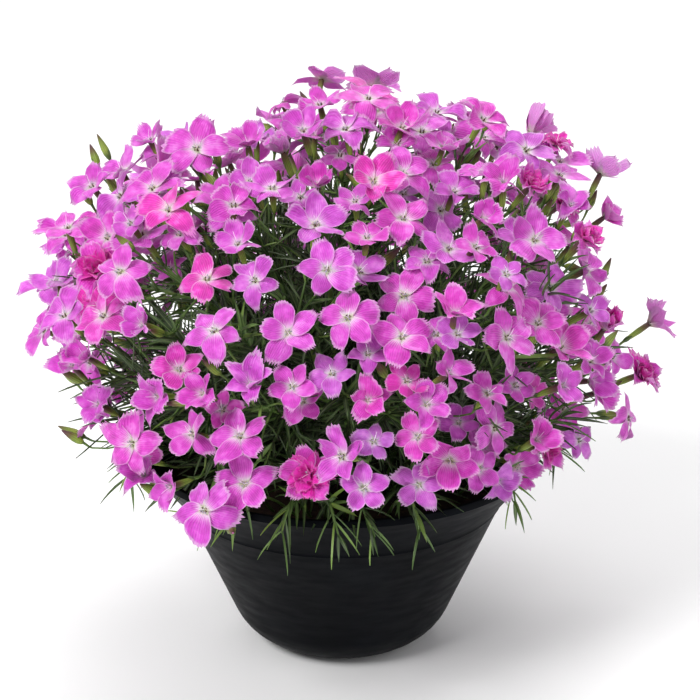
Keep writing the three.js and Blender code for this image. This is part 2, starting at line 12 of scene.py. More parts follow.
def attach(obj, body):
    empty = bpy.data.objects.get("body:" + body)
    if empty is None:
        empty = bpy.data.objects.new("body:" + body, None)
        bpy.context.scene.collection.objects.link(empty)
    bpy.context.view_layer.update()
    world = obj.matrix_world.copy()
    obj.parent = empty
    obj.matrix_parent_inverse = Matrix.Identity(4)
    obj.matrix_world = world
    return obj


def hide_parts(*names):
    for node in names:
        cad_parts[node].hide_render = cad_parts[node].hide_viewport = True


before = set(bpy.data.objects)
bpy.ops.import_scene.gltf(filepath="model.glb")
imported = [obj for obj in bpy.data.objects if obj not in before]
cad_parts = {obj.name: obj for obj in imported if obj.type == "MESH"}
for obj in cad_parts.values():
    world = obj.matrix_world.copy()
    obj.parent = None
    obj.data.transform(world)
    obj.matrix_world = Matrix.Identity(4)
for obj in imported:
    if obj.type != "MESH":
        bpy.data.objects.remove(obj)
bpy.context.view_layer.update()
mm = 0.001
up = Vector((0, 0, 1))
chance = random.Random(7)
anyTurn = (0, 6.3)  # radians
fifthTurn = math.pi * 0.4
sprayNodes = sorted(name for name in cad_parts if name.startswith("spray"))
tuftNodes = sorted(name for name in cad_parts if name.startswith("tuft"))


# Helpers for objects

def deselectAll():
    if bpy.context.mode != "OBJECT":
        bpy.ops.object.mode_set(mode="OBJECT")
    bpy.ops.object.select_all(action="DESELECT")


def selectOnly(*items):
    deselectAll()
    for item in items:
        item.select_set(True)
    bpy.context.view_layer.objects.active = items[0]


def selectPoints(item, test):  # in edit mode, by place
    bpy.ops.mesh.select_all(action="DESELECT")
    shape = bmesh.from_edit_mesh(item.data)
    for vertex in shape.verts:
        vertex.select = test(vertex.co)
    shape.select_flush(True)
    bmesh.update_edit_mesh(item.data)


def applyModifier(item, kind, **settings):
    modifier = item.modifiers.new(kind.lower(), kind)
    for key, value in settings.items():
        setattr(modifier, key, value)
    bpy.ops.object.modifier_apply(modifier=modifier.name)


def finishPiece(item, name, materials, nodes, smoothAngle):
    selectOnly(item)
    bpy.ops.object.transform_apply(location=True, rotation=True, scale=True)
    item.name = name
    item.data.name = name
    slots = [face.material_index for face in item.data.polygons]
    item.data.materials.clear()  # this sets every face back to the first material
    for material in materials:
        item.data.materials.append(material)
    item.data.polygons.foreach_set("material_index", slots)
    bpy.ops.object.shade_smooth_by_angle(angle=math.radians(smoothAngle))
    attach(item, "root")
    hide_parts(*nodes)


# Helpers for materials

def linear(hexColour):
    parts = [int(hexColour[start:start + 2], 16) / 255 for start in (1, 3, 5)]
    return [part / 12.92 if part <= 0.04045 else ((part + 0.055) / 1.055) ** 2.4 for part in parts] + [1]


def addNode(tree, kind, settings=None, links=None):  # a link from a node is from its first output in use
    node = tree.nodes.new("ShaderNode" + kind)
    for key, value in (settings or {}).items():
        if key == "stops":
            ramp = node.color_ramp
            while len(ramp.elements) < len(value):
                ramp.elements.new(0.5)
            for element, (place, colour) in zip(ramp.elements, value):
                element.position = place
                element.color = colour
        elif isinstance(key, int) or key in node.inputs:
            node.inputs[key].default_value = value
        else:
            setattr(node, key, value)
    for key, source in (links or {}).items():
        if not isinstance(source, bpy.types.NodeSocket):
            source = next(output for output in source.outputs if output.enabled)
        tree.links.new(source, node.inputs[key])
    return node


def newMaterial(name):
    material = bpy.data.materials.new(name)
    material.use_nodes = True
    material.node_tree.nodes.clear()
    return material, material.node_tree


def finishMaterial(material, settings, links=None):
    shader = addNode(material.node_tree, "BsdfPrincipled", settings, links)
    addNode(material.node_tree, "OutputMaterial", links={"Surface": shader})
    return material


def pieceMap(tree):  # the uv map of a piece, and its two directions: across and along
    uv = addNode(tree, "UVMap", {"uv_map": "UVMap"})
    axes = addNode(tree, "SeparateXYZ", links={"Vector": uv})
    return uv, axes.outputs["X"], axes.outputs["Y"]


def greys(*stops):
    return [(place, (level, level, level, 1)) for place, level in stops]


def colours(*stops):
    return [(place, linear(colour)) for place, colour in stops]


# Round bodies, such as the pot, are drawn up ring by ring from a disc

def drawUp(sides, radius, height, rings):  # mm
    deselectAll()
    bpy.ops.mesh.primitive_circle_add(vertices=sides, radius=radius * mm, fill_type="NGON",
                                      location=(0, 0, height * mm))
    item = bpy.context.object
    bpy.ops.object.mode_set(mode="EDIT")
    bpy.ops.mesh.select_all(action="SELECT")
    for nextRadius, nextHeight in rings:
        bpy.ops.mesh.extrude_region_move(TRANSFORM_OT_translate={"value": (0, 0, (nextHeight - height) * mm)})
        grow = nextRadius / radius
        bpy.ops.transform.resize(value=(grow, grow, 1), center_override=(0, 0, 0))
        radius, height = nextRadius, nextHeight
    bpy.ops.mesh.select_all(action="SELECT")
    bpy.ops.mesh.normals_make_consistent(inside=False)
    bpy.ops.object.mode_set(mode="OBJECT")
    return item


# Thin sheets, such as petals and leaves, are closed by a back that meets the front along the edge

def makeSheet(columns, halfWidths):
    rows = len(halfWidths) - 1
    deselectAll()
    bpy.ops.mesh.primitive_grid_add(x_subdivisions=columns, y_subdivisions=rows, size=1, location=(0, 0.5, 0),
                                    calc_uvs=True)
    item = bpy.context.object
    bpy.ops.object.transform_apply(location=True)
    bpy.ops.object.mode_set(mode="EDIT")
    for row, halfWidth in enumerate(halfWidths):
        selectPoints(item, lambda place, level=row / rows: abs(place.y - level) < 0.01)
        bpy.ops.transform.resize(value=(halfWidth * 2, 1, 1), center_override=(0, 0, 0))
    bpy.ops.object.mode_set(mode="OBJECT")
    return item


def closeSheet(item, thickness):
    selectOnly(item)
    bpy.ops.object.mode_set(mode="EDIT")
    bpy.ops.mesh.select_all(action="SELECT")
    bpy.ops.mesh.duplicate()
    bpy.ops.mesh.flip_normals()
    shape = bmesh.from_edit_mesh(item.data)
    for face in shape.faces:
        face.material_index = 1 if face.select else 0
    for vertex in shape.verts:
        if vertex.select and not vertex.is_boundary:
            vertex.co.z -= thickness
    bmesh.update_edit_mesh(item.data)
    bpy.ops.mesh.select_all(action="SELECT")
    bpy.ops.mesh.remove_doubles(threshold=0.0001)
    bpy.ops.object.mode_set(mode="OBJECT")


# Copies of small shapes are gathered in one bundle per object

def newBundle():
    return {"points": [], "faces": [], "maps": [], "slots": [], "tones": []}


def takeShape(item, mapPoint=None):  # the object itself is no longer needed
    mesh = item.data
    layer = mesh.uv_layers.active.data
    maps = []
    for face in mesh.polygons:
        if mapPoint:
            maps.append([mapPoint(mesh.vertices[corner].co) for corner in face.vertices])
        else:
            maps.append([tuple(layer[loop].uv) for loop in face.loop_indices])
    shape = {
        "points": [vertex.co.copy() for vertex in mesh.vertices],
        "faces": [list(face.vertices) for face in mesh.polygons],
        "maps": maps,
        "slots": [face.material_index for face in mesh.polygons],
    }
    bpy.data.objects.remove(item)
    return shape


def addCopy(bundle, shape, place, slot=0, tone=0.5):
    first = len(bundle["points"])
    bundle["points"] += [place(point) for point in shape["points"]]
    bundle["faces"] += [[first + corner for corner in face] for face in shape["faces"]]
    bundle["maps"] += shape["maps"]
    bundle["slots"] += [slot + own for own in shape["slots"]]
    bundle["tones"] += [tone] * len(shape["points"])


def bundleObject(bundle, name, materials):
    mesh = bpy.data.meshes.new(name)
    mesh.from_pydata(bundle["points"], [], bundle["faces"])
    layer = mesh.uv_layers.new(name="UVMap")
    layer.data.foreach_set("uv", [part for face in bundle["maps"] for corner in face for part in corner])
    mesh.polygons.foreach_set("material_index", bundle["slots"])
    mesh.polygons.foreach_set("use_smooth", [True] * len(bundle["faces"]))
    tone = mesh.attributes.new("tone", "FLOAT", "POINT")
    tone.data.foreach_set("value", bundle["tones"])
    for material in materials:
        mesh.materials.append(material)
    item = bpy.data.objects.new(name, mesh)
    bpy.context.scene.collection.objects.link(item)
    return item


# Front view: the camera, the floor and the light

frontView = {
    "eye": Vector((0, -1143.8, 574.4)) * mm,
    "lens": 112.9,  # mm
    "sensor": 36,  # mm
    "tiltDown": 19.47,  # degrees
    "turnRight": 0.235,
    "frameSide": 700,  # px
    "farEnd": 30,  # m
}
plantMiddle = Vector((0, 0, 0.2))
studio = {  # m and watts
    "floorSide": 14,
    "lamps": {  # place, what it points at, watts and size
        "keySoftbox": (Vector((-1.4, -1.7, 2.1)), plantMiddle, 66, 1.0),
        "fillSoftbox": (Vector((1.9, -1.3, 1.2)), plantMiddle, 12, 1.8),
        "topSoftbox": (Vector((0.2, 0.6, 2.4)), plantMiddle, 24, 1.6),
        "floorSoftbox": (Vector((0, 3.4, 2.6)), Vector((0, 3, 0)), 60, 3.0),  # for the floor behind the plant
    },
    "worldLight": 0.365,
}


def makeCamera():
    turn = (math.radians(90 - frontView["tiltDown"]), 0, -math.radians(frontView["turnRight"]))
    bpy.ops.object.camera_add(location=frontView["eye"], rotation=turn)
    camera = bpy.context.object
    camera.data.lens = frontView["lens"]
    camera.data.sensor_width = frontView["sensor"]
    camera.data.clip_end = frontView["farEnd"]
    bpy.context.scene.camera = camera
    bpy.context.view_layer.update()
    return camera


def framePixels(camera):  # px that a width equal to its distance takes in the front view
    return frontView["frameSide"] * camera.data.lens / camera.data.sensor_width


def framePlace(camera, point):  # px in the front view, from its top left corner
    seen = camera.matrix_world.inverted() @ point
    scale = framePixels(camera) / -seen.z
    middle = frontView["frameSide"] / 2
    return Vector((middle + seen.x * scale, middle - seen.y * scale))


def frameRay(camera, spot):  # from the eye through a spot of the front view
    middle = frontView["frameSide"] / 2
    scale = framePixels(camera)
    seen = Vector(((spot[0] - middle) / scale, (middle - spot[1]) / scale, -1))
    return (camera.matrix_world.to_quaternion() @ seen).normalized()


# Painted studio floor: flat matt white, even and without gloss.
def paintedFloor():
    material, _ = newMaterial("mattWhiteStudioPaint")
    return finishMaterial(material, {
        "Base Color": linear("#FBFBFA"), "Roughness": 0.9, "Specular IOR Level": 0.2,
    })


def makeStage():
    deselectAll()
    bpy.ops.mesh.primitive_plane_add(size=studio["floorSide"], location=(0, 0, 0))
    floor = bpy.context.object
    floor.name = "studioFloor"
    floor.data.materials.append(paintedFloor())
    for name, (place, aim, watts, size) in studio["lamps"].items():
        turn = (place - aim).to_track_quat("Z", "Y").to_euler()
        bpy.ops.object.light_add(type="AREA", location=place, rotation=turn)
        lamp = bpy.context.object
        lamp.name = name
        lamp.data.energy = watts
        lamp.data.size = size
    world = bpy.data.worlds.new("paleStudio")
    world.use_nodes = True
    background = world.node_tree.nodes["Background"]
    background.inputs["Color"].default_value = linear("#FBFBFF")
    background.inputs["Strength"].default_value = studio["worldLight"]
    bpy.context.scene.world = world
    bpy.context.scene.view_settings.view_transform = "Standard"


deselectAll()
camera = makeCamera()
makeStage()
print("camera, floor and lamps are in place")


# Pot

pot = {  # mm
    "sides": 128,
    "footRadius": 30.5,
    "bendRadius": 34,
    "bendAngle": 65.8,  # degrees, up to the straight wall
    "bendSteps": 9,
    "wallTop": (90.3, 86.5),  # radius and height
    "lineHeight": 1.1,  # thin raised line under the collar
    "lineDepth": 0.7,
    "collarFoot": (91.6, 88),
    "rimRadius": 111,
    "height": 116,
    "rimDepth": 4,
    "rimStep": (1.2, 0.8),  # how far the rim stands out from the collar, and over what height
    "wall": 2.6,
    "insideRise": 0.6,  # of the wall: the inside of a slanting wall stands that much higher
    "edgeRounding": 0.7,
    "drainHoles": 5,
    "drainRadius": 4.5,
    "drainCircle": 18,
    "drainSides": 24,
    "drillLength": 20,
}


# Moulded polypropylene: charcoal black, matt with a soft wide sheen, a fine leathery grain and dusty patches.
def mouldedPolypropylene():
    material, tree = newMaterial("mouldedBlackPolypropylene")
    place = addNode(tree, "TexCoord").outputs["Object"]
    patches = addNode(tree, "TexNoise", {"Scale": 1 / (45 * mm), "Detail": 5, "Roughness": 0.6},
                      {"Vector": place})
    flow = addNode(tree, "Mapping", {"Scale": (60, 60, 260)}, {"Vector": place})
    streaks = addNode(tree, "TexNoise", {"Scale": 1, "Detail": 3}, {"Vector": flow})
    grain = addNode(tree, "TexNoise", {"Scale": 1 / (1.1 * mm), "Detail": 2}, {"Vector": place})
    tint = addNode(tree, "ValToRGB", {
        "stops": colours((0.3, "#040506"), (0.55, "#07080B"), (0.8, "#0D1014")),
    }, {"Fac": patches})
    gloss = addNode(tree, "MapRange", {"From Min": 0.3, "From Max": 0.7, "To Min": 0.42, "To Max": 0.58},
                    {"Value": streaks})
    relief = addNode(tree, "Mix", {"Factor": 0.3}, {"A": grain, "B": streaks})
    bump = addNode(tree, "Bump", {"Strength": 0.16, "Distance": 0.15 * mm}, {"Height": relief})
    return finishMaterial(material, {
        "IOR": 1.49, "Specular IOR Level": 0.05, "Specular Tint": (0.76, 0.86, 1, 1),
    }, {"Base Color": tint, "Roughness": gloss, "Normal": bump})


def bendPoint(angle):
    radius = pot["footRadius"] + pot["bendRadius"] * math.sin(math.radians(angle))
    return radius, pot["bendRadius"] * (1 - math.cos(math.radians(angle)))


def potProfile():
    steps = pot["bendSteps"]
    bend = [bendPoint(pot["bendAngle"] * step / steps) for step in range(1, steps + 1)]
    wallRadius, wallHeight = pot["wallTop"]
    line = [
        (wallRadius, wallHeight - pot["lineHeight"]),
        (wallRadius + pot["lineDepth"], wallHeight - pot["lineHeight"] * 0.6),
        (wallRadius + pot["lineDepth"], wallHeight),
    ]
    rim, height, rounding = pot["rimRadius"], pot["height"], pot["edgeRounding"]
    stepOut, stepHeight = pot["rimStep"]
    collar = [
        pot["collarFoot"],
        (rim - stepOut, height - pot["rimDepth"] - stepHeight),
        (rim, height - pot["rimDepth"]),
        (rim, height - rounding),
        (rim - rounding * 0.3, height - rounding * 0.3),
        (rim - rounding, height),
        (rim - pot["wall"] + rounding, height),
        (rim - pot["wall"], height - rounding),
    ]
    wall = [(wallRadius, wallHeight)] + bend[::-2]
    rise = pot["wall"] * pot["insideRise"]
    inside = [(radius - pot["wall"], level + rise) for radius, level in wall]
    return bend + line + collar + inside + [(pot["footRadius"], pot["wall"])]


def makePot():
    item = drawUp(pot["sides"], pot["footRadius"], 0, potProfile())  # up into a bowl, and down its inside
    for number in range(pot["drainHoles"]):
        angle = 2 * math.pi * number / pot["drainHoles"]
        place = Vector((math.cos(angle), math.sin(angle), 0)) * pot["drainCircle"] * mm
        bpy.ops.mesh.primitive_cylinder_add(vertices=pot["drainSides"], radius=pot["drainRadius"] * mm,
                                            depth=pot["drillLength"] * mm, location=place)
        drill = bpy.context.object
        selectOnly(item)
        applyModifier(item, "BOOLEAN", object=drill, operation="DIFFERENCE", solver="EXACT")
        bpy.data.objects.remove(drill)
    finishPiece(item, "bowlPot", [mouldedPolypropylene()], ["pot"], smoothAngle=35)


makePot()
print("the pot is made")


# Soil

soil = {  # mm
    "sides": 96,
    "floorGap": 0.6,
    "edgeHeight": 102,
    "middleHeight": 107,
    "middleRadius": 60,
    "rings": 16,
    "lumpsFrom": 101.5,  # height
    "evenEdge": 2,  # along the wall, without lumps
    "lumpHeight": 2.2,
    "lumpSize": 11,
    "crumbs": 420,
    "crumbSize": (1.2, 3.4),
    "crumbSpread": 0.94,  # of the soil's area
    "crumbLift": 0.1,  # shares of a crumb's size
    "crumbWidth": (0.6, 1),
    "crumbHeight": 0.6,
    "crumbTurn": (0, 6),  # radians
}


# Peat potting soil: very dark brown, crumbly and damp, without gloss and paler where it has dried.
def peatSoil():
    material, tree = newMaterial("dampPeatSoil")
    place = addNode(tree, "TexCoord").outputs["Object"]
    clumps = addNode(tree, "TexNoise", {"Scale": 1 / (4 * mm), "Detail": 8, "Roughness": 0.7},
                     {"Vector": place})
    tint = addNode(tree, "ValToRGB", {
        "stops": colours((0.3, "#150E0A"), (0.55, "#2A1D14"), (0.78, "#4A3626")),
    }, {"Fac": clumps})
    bump = addNode(tree, "Bump", {"Strength": 0.9, "Distance": 1.2 * mm}, {"Height": clumps})
    return finishMaterial(material, {"Roughness": 0.95, "Specular IOR Level": 0.25},
                          {"Base Color": tint, "Normal": bump})


def insideRadius(level):  # of the pot's upper part, mm
    lowRadius, lowLevel = pot["wallTop"][0] - pot["wall"], pot["wallTop"][1] + pot["wall"] * pot["insideRise"]
    rim = pot["rimRadius"] - pot["wall"]
    return lowRadius + (rim - lowRadius) * (level - lowLevel) / (pot["height"] - lowLevel)


def soilLevel(radius):  # mm
    middle, edge = soil["middleHeight"], soil["edgeHeight"]
    fall = max(0, (radius - soil["middleRadius"]) / (insideRadius(edge) - soil["middleRadius"]))
    return middle - (middle - edge) * min(1, fall)


def makeCrumbs(edge):
    deselectAll()
    bpy.ops.mesh.primitive_ico_sphere_add(subdivisions=1, radius=1)
    shape = takeShape(bpy.context.object)
    bundle = newBundle()
    for _ in range(soil["crumbs"]):
        angle = chance.uniform(0, 2 * math.pi)
        reach = edge * math.sqrt(chance.uniform(0, soil["crumbSpread"]))
        size = chance.uniform(*soil["crumbSize"])
        level = soilLevel(reach) + size * soil["crumbLift"]
        place = Vector((math.cos(angle) * reach, math.sin(angle) * reach, level)) * mm
        sizes = (size, size * chance.uniform(*soil["crumbWidth"]), size * soil["crumbHeight"])
        squash = Matrix.Diagonal(sizes) * 0.5 * mm
        axis = Vector((chance.random(), chance.random(), 1))
        turn = Quaternion(axis, chance.uniform(*soil["crumbTurn"])).to_matrix()
        addCopy(bundle, shape, lambda point: place + turn @ (squash @ point))
    return bundleObject(bundle, "crumbs", [])


def makeSoil():
    gap = soil["floorGap"]
    wall = [(radius - gap, level) for radius, level in potProfile()[-6:-1][::-1]]
    edge = insideRadius(soil["edgeHeight"]) - gap
    top = [edge * (1 - step / soil["rings"]) for step in range(soil["rings"])]
    rings = wall + [(radius, soilLevel(radius)) for radius in top]
    item = drawUp(soil["sides"], pot["footRadius"] - 2 * gap, pot["wall"] + gap, rings)
    for vertex in item.data.vertices:
        flat = Vector((vertex.co.x, vertex.co.y, 0))
        if vertex.co.z > soil["lumpsFrom"] * mm and flat.length < (edge - soil["evenEdge"]) * mm:
            vertex.co.z += noise.noise(flat / (soil["lumpSize"] * mm)) * soil["lumpHeight"] * mm
    crumbs = makeCrumbs(edge)
    selectOnly(item, crumbs)
    bpy.ops.object.join()
    finishPiece(item, "pottingSoil", [peatSoil()], ["soil"], smoothAngle=60)


makeSoil()
print("the soil is made")


# Petals

petal = {  # in shares of the petal's length
    "outlines": [  # half widths from the throat outwards, and how far the corners of the outer edge stay back
        ([0.12, 0.25, 0.35, 0.4, 0.41, 0.35], 0.14),
        ([0.12, 0.26, 0.37, 0.4, 0.33, 0.14], 0.05),
        ([0.12, 0.24, 0.33, 0.38, 0.4, 0.34], 0.2),
        ([0.12, 0.25, 0.36, 0.41, 0.37, 0.24], 0.1),
        ([0.12, 0.24, 0.34, 0.37, 0.28, 0.08], 0.0),
        ([0.12, 0.25, 0.35, 0.4, 0.36, 0.22], 0.12),
    ],
    "span": 0.41,  # the largest half width
    "columns": 6,
    "skew": (-0.2, 0.2),  # how far one end of the outer edge stands beyond the other
    "toothLength": (0.03, 0.12),
    "toothSway": 0.3,  # of the gap between two teeth
    "outerFrom": 0.4,  # the skew and the corners' drop begin here
    "thickness": 0.02,
    "overlength": 1.11,  # of the way from the throat to the middle between the two corners
    "lengthSpread": 0.09,
    "overlap": 0.06,  # one flank lies over the next petal, the other under the one before
    "channel": (-0.25, 0.4),  # rise of the side edges over the midrib
    "tipCurl": (-0.42, 0.16),
    "channelSpread": 0.12,  # between the petals of a bloom
    "tipSpread": 0.13,
    "fold": 0.3,  # one flank turns up or down
    "ruffle": (0.02, 0.07),
    "sway": 0.07,
    "twist": 0.17,
    "fullLean": (50, 62),  # degrees from the way a full bloom faces to its petals
    "fullFrill": 3,  # times the ruffle of a plain bloom
    "fullOuterTone": 0.6,
    "innerWhorls": [(0.86, 36, 0.3), (0.7, 14, 0.7), (0.5, 50, 1.2)],  # length, turn in degrees and rise
}
petalDepth = {"Subsurface Weight": 0.4, "Subsurface Scale": 1.5 * mm, "Subsurface Radius": (1, 0.4, 0.8)}


def petalVeins(tree, uv):  # they fan out from the throat, drawn about 1 mm apart so that they show
    fan = addNode(tree, "Mapping", {"Scale": (7, 0.35, 1)}, {"Vector": uv})
    return addNode(tree, "TexWave", {"Scale": 0.5, "Distortion": 2.5, "Detail": 2, "Detail Scale": 1.5},
                   {"Vector": fan}).outputs["Fac"]


def petalBump(tree, veins, place, crinkleShare):
    crinkle = addNode(tree, "TexNoise", {"Scale": 1 / (3 * mm), "Detail": 2}, {"Vector": place})
    relief = addNode(tree, "Mix", {"Factor": crinkleShare}, {"A": veins, "B": crinkle})
    return addNode(tree, "Bump", {"Strength": 0.5, "Distance": 1.1 * mm}, {"Height": relief})


# Fresh petal, upper face: thin and velvety, orchid pink with a white eye and fine veins, random patches of
# painted highlight and painted shade, and a painted highlight at the toothed edge and along the flanks.
# The tone runs from fading lilac at 0 to the hot pink of a bloom that is still opening at 1.
def petalFace():
    material, tree = newMaterial("velvetyPetalFace")
    tone = addNode(tree, "Attribute", {"attribute_name": "tone"}).outputs["Fac"]
    uv, across, along = pieceMap(tree)
    place = addNode(tree, "TexCoord").outputs["Object"]
    body = addNode(tree, "ValToRGB", {
        "stops": colours((0.0, "#C276D6"), (0.3, "#CE52CA"), (0.55, "#D73FC0"), (0.8, "#E032B2"),
                         (1.0, "#EC16B0")),
    }, {"Fac": tone})
    # painted shade and painted highlight: random cloud patches darken the pink in some places and lighten it
    # in others
    cloud = addNode(tree, "TexNoise", {"Scale": 1 / (6 * mm), "Detail": 2}, {"Vector": place})
    paintedShadeShare = addNode(tree, "MapRange", {"From Min": 0.45, "From Max": 0.65, "To Max": 0.9},
                        {"Value": cloud})
    deep = addNode(tree, "Mix", {"data_type": "RGBA", "blend_type": "MULTIPLY", "B": linear("#D9AFD6")},
                   {"Factor": paintedShadeShare, "A": body})
    paintedHighlightShare = addNode(tree, "MapRange", {"From Min": 0.46, "From Max": 0.3, "To Max": 0.42},
                         {"Value": cloud})
    highlighted = addNode(tree, "Mix", {"data_type": "RGBA", "B": linear("#F39BEA")},
                  {"Factor": paintedHighlightShare, "A": deep})
    veins = petalVeins(tree, uv)
    veinShare = addNode(tree, "MapRange", {"From Min": 0.6, "From Max": 1, "To Max": 0.09}, {"Value": veins})
    veined = addNode(tree, "Mix", {"data_type": "RGBA", "B": linear("#F7B4F0")},
                     {"Factor": veinShare, "A": highlighted})
    # the eye reaches out in rays, and a bloom that is still opening hides it
    rays = addNode(tree, "Math", {"operation": "MULTIPLY", 1: 0.12}, {0: veins})
    reach = addNode(tree, "Math", {"operation": "SUBTRACT"}, {0: along, 1: rays})
    eye = addNode(tree, "ValToRGB", {"stops": greys((0.0, 0.85), (0.1, 0.6), (0.22, 0.2), (0.38, 0))},
                  {"Fac": reach})
    eyeTint = addNode(tree, "ValToRGB", {
        "stops": colours((0.0, "#9AA352"), (0.08, "#DDDDB4"), (0.16, "#F6ECEF"), (0.4, "#F2D3EC")),
    }, {"Fac": along})
    opening = addNode(tree, "MapRange", {"From Min": 0.86, "From Max": 0.95, "To Min": 1, "To Max": 0.12},
                      {"Value": tone})
    eyeShare = addNode(tree, "Math", {"operation": "MULTIPLY"}, {0: eye, 1: opening})
    eyed = addNode(tree, "Mix", {"data_type": "RGBA"}, {"Factor": eyeShare, "A": veined, "B": eyeTint})
    # painted highlight: the edge is painted pale at the teeth and along both flanks, where a curled margin
    # would catch the light
    edge = addNode(tree, "MapRange", {"From Min": 0.9, "From Max": 1, "To Max": 0.5}, {"Value": along})
    aside = addNode(tree, "Math", {"operation": "SUBTRACT", 1: 0.5}, {0: across})
    flank = addNode(tree, "Math", {"operation": "ABSOLUTE"}, {0: aside})
    flankHighlight = addNode(tree, "MapRange", {"From Min": 0.44, "From Max": 0.5, "To Max": 0.4},
                        {"Value": flank})
    rim = addNode(tree, "Math", {"operation": "MAXIMUM"}, {0: edge, 1: flankHighlight})
    edgeLightShare = addNode(tree, "MapRange", {"From Min": 0.86, "From Max": 0.95, "To Min": 1, "To Max": 0.3},
                       {"Value": tone})
    paintedEdgeLight = addNode(tree, "Math", {"operation": "MULTIPLY"}, {0: rim, 1: edgeLightShare})
    tint = addNode(tree, "Mix", {"data_type": "RGBA", "B": linear("#FBD3F5")}, {"Factor": paintedEdgeLight, "A": eyed})
    return finishMaterial(material, {
        "Roughness": 0.5, "Specular IOR Level": 0.3,
        "Sheen Weight": 0.2, "Sheen Roughness": 0.5, **petalDepth,
    }, {"Base Color": tint, "Normal": petalBump(tree, veins, place, 0.7)})


# Fresh petal, under face: the same petal seen from its paler, duller back.
def petalBack():
    material, tree = newMaterial("palePetalBack")
    tone = addNode(tree, "Attribute", {"attribute_name": "tone"}).outputs["Fac"]
    uv, _, along = pieceMap(tree)
    place = addNode(tree, "TexCoord").outputs["Object"]
    body = addNode(tree, "ValToRGB", {
        "stops": colours((0.0, "#D3A6E0"), (0.5, "#E592DA"), (0.85, "#E97BCF"), (1.0, "#E24FB4")),
    }, {"Fac": tone})
    veins = petalVeins(tree, uv)
    veinShare = addNode(tree, "MapRange", {"From Min": 0.5, "From Max": 1, "To Max": 0.3}, {"Value": veins})
    veined = addNode(tree, "Mix", {"data_type": "RGBA", "B": linear("#C65CBB")},
                     {"Factor": veinShare, "A": body})
    claw = addNode(tree, "MapRange", {"From Min": 0.05, "From Max": 0.4, "To Min": 0.8, "To Max": 0},
                   {"Value": along})
    tint = addNode(tree, "Mix", {"data_type": "RGBA", "B": linear("#E3E2C2")}, {"Factor": claw, "A": veined})
    return finishMaterial(material, {"Roughness": 0.65, "Specular IOR Level": 0.25, **petalDepth},
                          {"Base Color": tint, "Normal": petalBump(tree, veins, place, 0.6)})


def modelPetal(halfWidths, shoulderDrop):  # flat, x across and y along from 0 to 1
    item = makeSheet(petal["columns"], halfWidths)
    bpy.ops.object.mode_set(mode="EDIT")
    selectPoints(item, lambda place: place.y > 0.99)
    bpy.ops.mesh.subdivide(number_cuts=1, quadcorner="INNERVERT")
    bpy.ops.object.mode_set(mode="OBJECT")
    pitch = halfWidths[-1] / petal["columns"]
    skew = chance.uniform(*petal["skew"])
    for vertex in item.data.vertices:
        side = vertex.co.x / petal["span"]
        outer = max(0, vertex.co.y - petal["outerFrom"]) / (1 - petal["outerFrom"])
        if vertex.co.y > 0.99 and round(vertex.co.x / pitch) % 2:
            vertex.co.y += chance.uniform(*petal["toothLength"])
            vertex.co.x += chance.uniform(-petal["toothSway"], petal["toothSway"]) * pitch
        vertex.co.y += (skew * side - shoulderDrop * abs(side) ** 1.7) * outer
    closeSheet(item, petal["thickness"])
    return takeShape(item)


def petalPlace(throat, first, second, length, curl):
    along = ((first + second) / 2 - throat).normalized()
    across = (first - second).normalized()
    above = across.cross(along).normalized()

    def place(point):
        side, out = point.x / petal["span"], point.y
        height = point.z + curl["channel"] * abs(side) ** 1.6 * out ** 1.4 + curl["tip"] * out ** 2.8
        height += curl["twist"] * side * out ** 2
        height += curl["ruffle"] * math.sin(side * 6 + curl["phase"]) * out ** 4
        height += petal["overlap"] * side * min(1, out * 3)
        height += curl["fold"] * max(0, side * curl["flank"] - 0.1) * out
        shift = point.x + curl["sway"] * out ** 2
        return throat + (along * out + across * shift + above * height) * length

    return place


# What stands in each CAD node is read back from its merged mesh

grown = {  # mm, sizes by which the parts of a node are told apart
    "merge": 0.02,
    "petalReach": 4.5,  # every point around a throat is further away
    "budTip": (8.2, 9.6),  # length of the edges at a bud's tip
    "neckDepth": 3.4,  # of the calyx's mouth under the bloom's centre
    "outlinePoints": 15,
}


def neighbours(vertex):
    return {edge.other_vert(vertex) for edge in vertex.link_edges}


def allNeighbours(vertices, *without):
    found = set()
    for vertex in vertices:
        found |= neighbours(vertex)
    return found.difference(vertices, *without)


def middle(vertices):
    return sum((vertex.co for vertex in vertices), Vector()) / len(vertices)


def readBloom(throat):
    after = {}
    for face in throat.link_faces:
        corners = [loop.vert for loop in face.loops]
        start = corners.index(throat)
        after[corners[(start + 1) % 3]] = corners[(start + 2) % 3]
    outline = [next(iter(after))]
    while len(outline) < len(after):
        outline.append(after[outline[-1]])
    notches = sorted(outline, key=lambda corner: (corner.co - throat.co).length)[:5]
    start = min(outline.index(notch) for notch in notches)
    outline = outline[start:] + outline[:start]
    top = allNeighbours(outline, {throat})
    foot = allNeighbours(top, outline)
    root = allNeighbours(foot, top)
    facing = (middle(top) - middle(foot)).normalized()
    return {
        "throat": throat.co.copy(),
        "centre": middle(top) + facing * grown["neckDepth"] * mm,
        "facing": facing,
        "petals": [(outline[spot + 1].co.copy(), outline[spot + 2].co.copy())
                   for spot in range(0, grown["outlinePoints"], 3)],
        "neck": middle(top),
        "foot": middle(foot),
        "root": middle(root),
        "used": {throat, *outline, *top, *foot},
    }


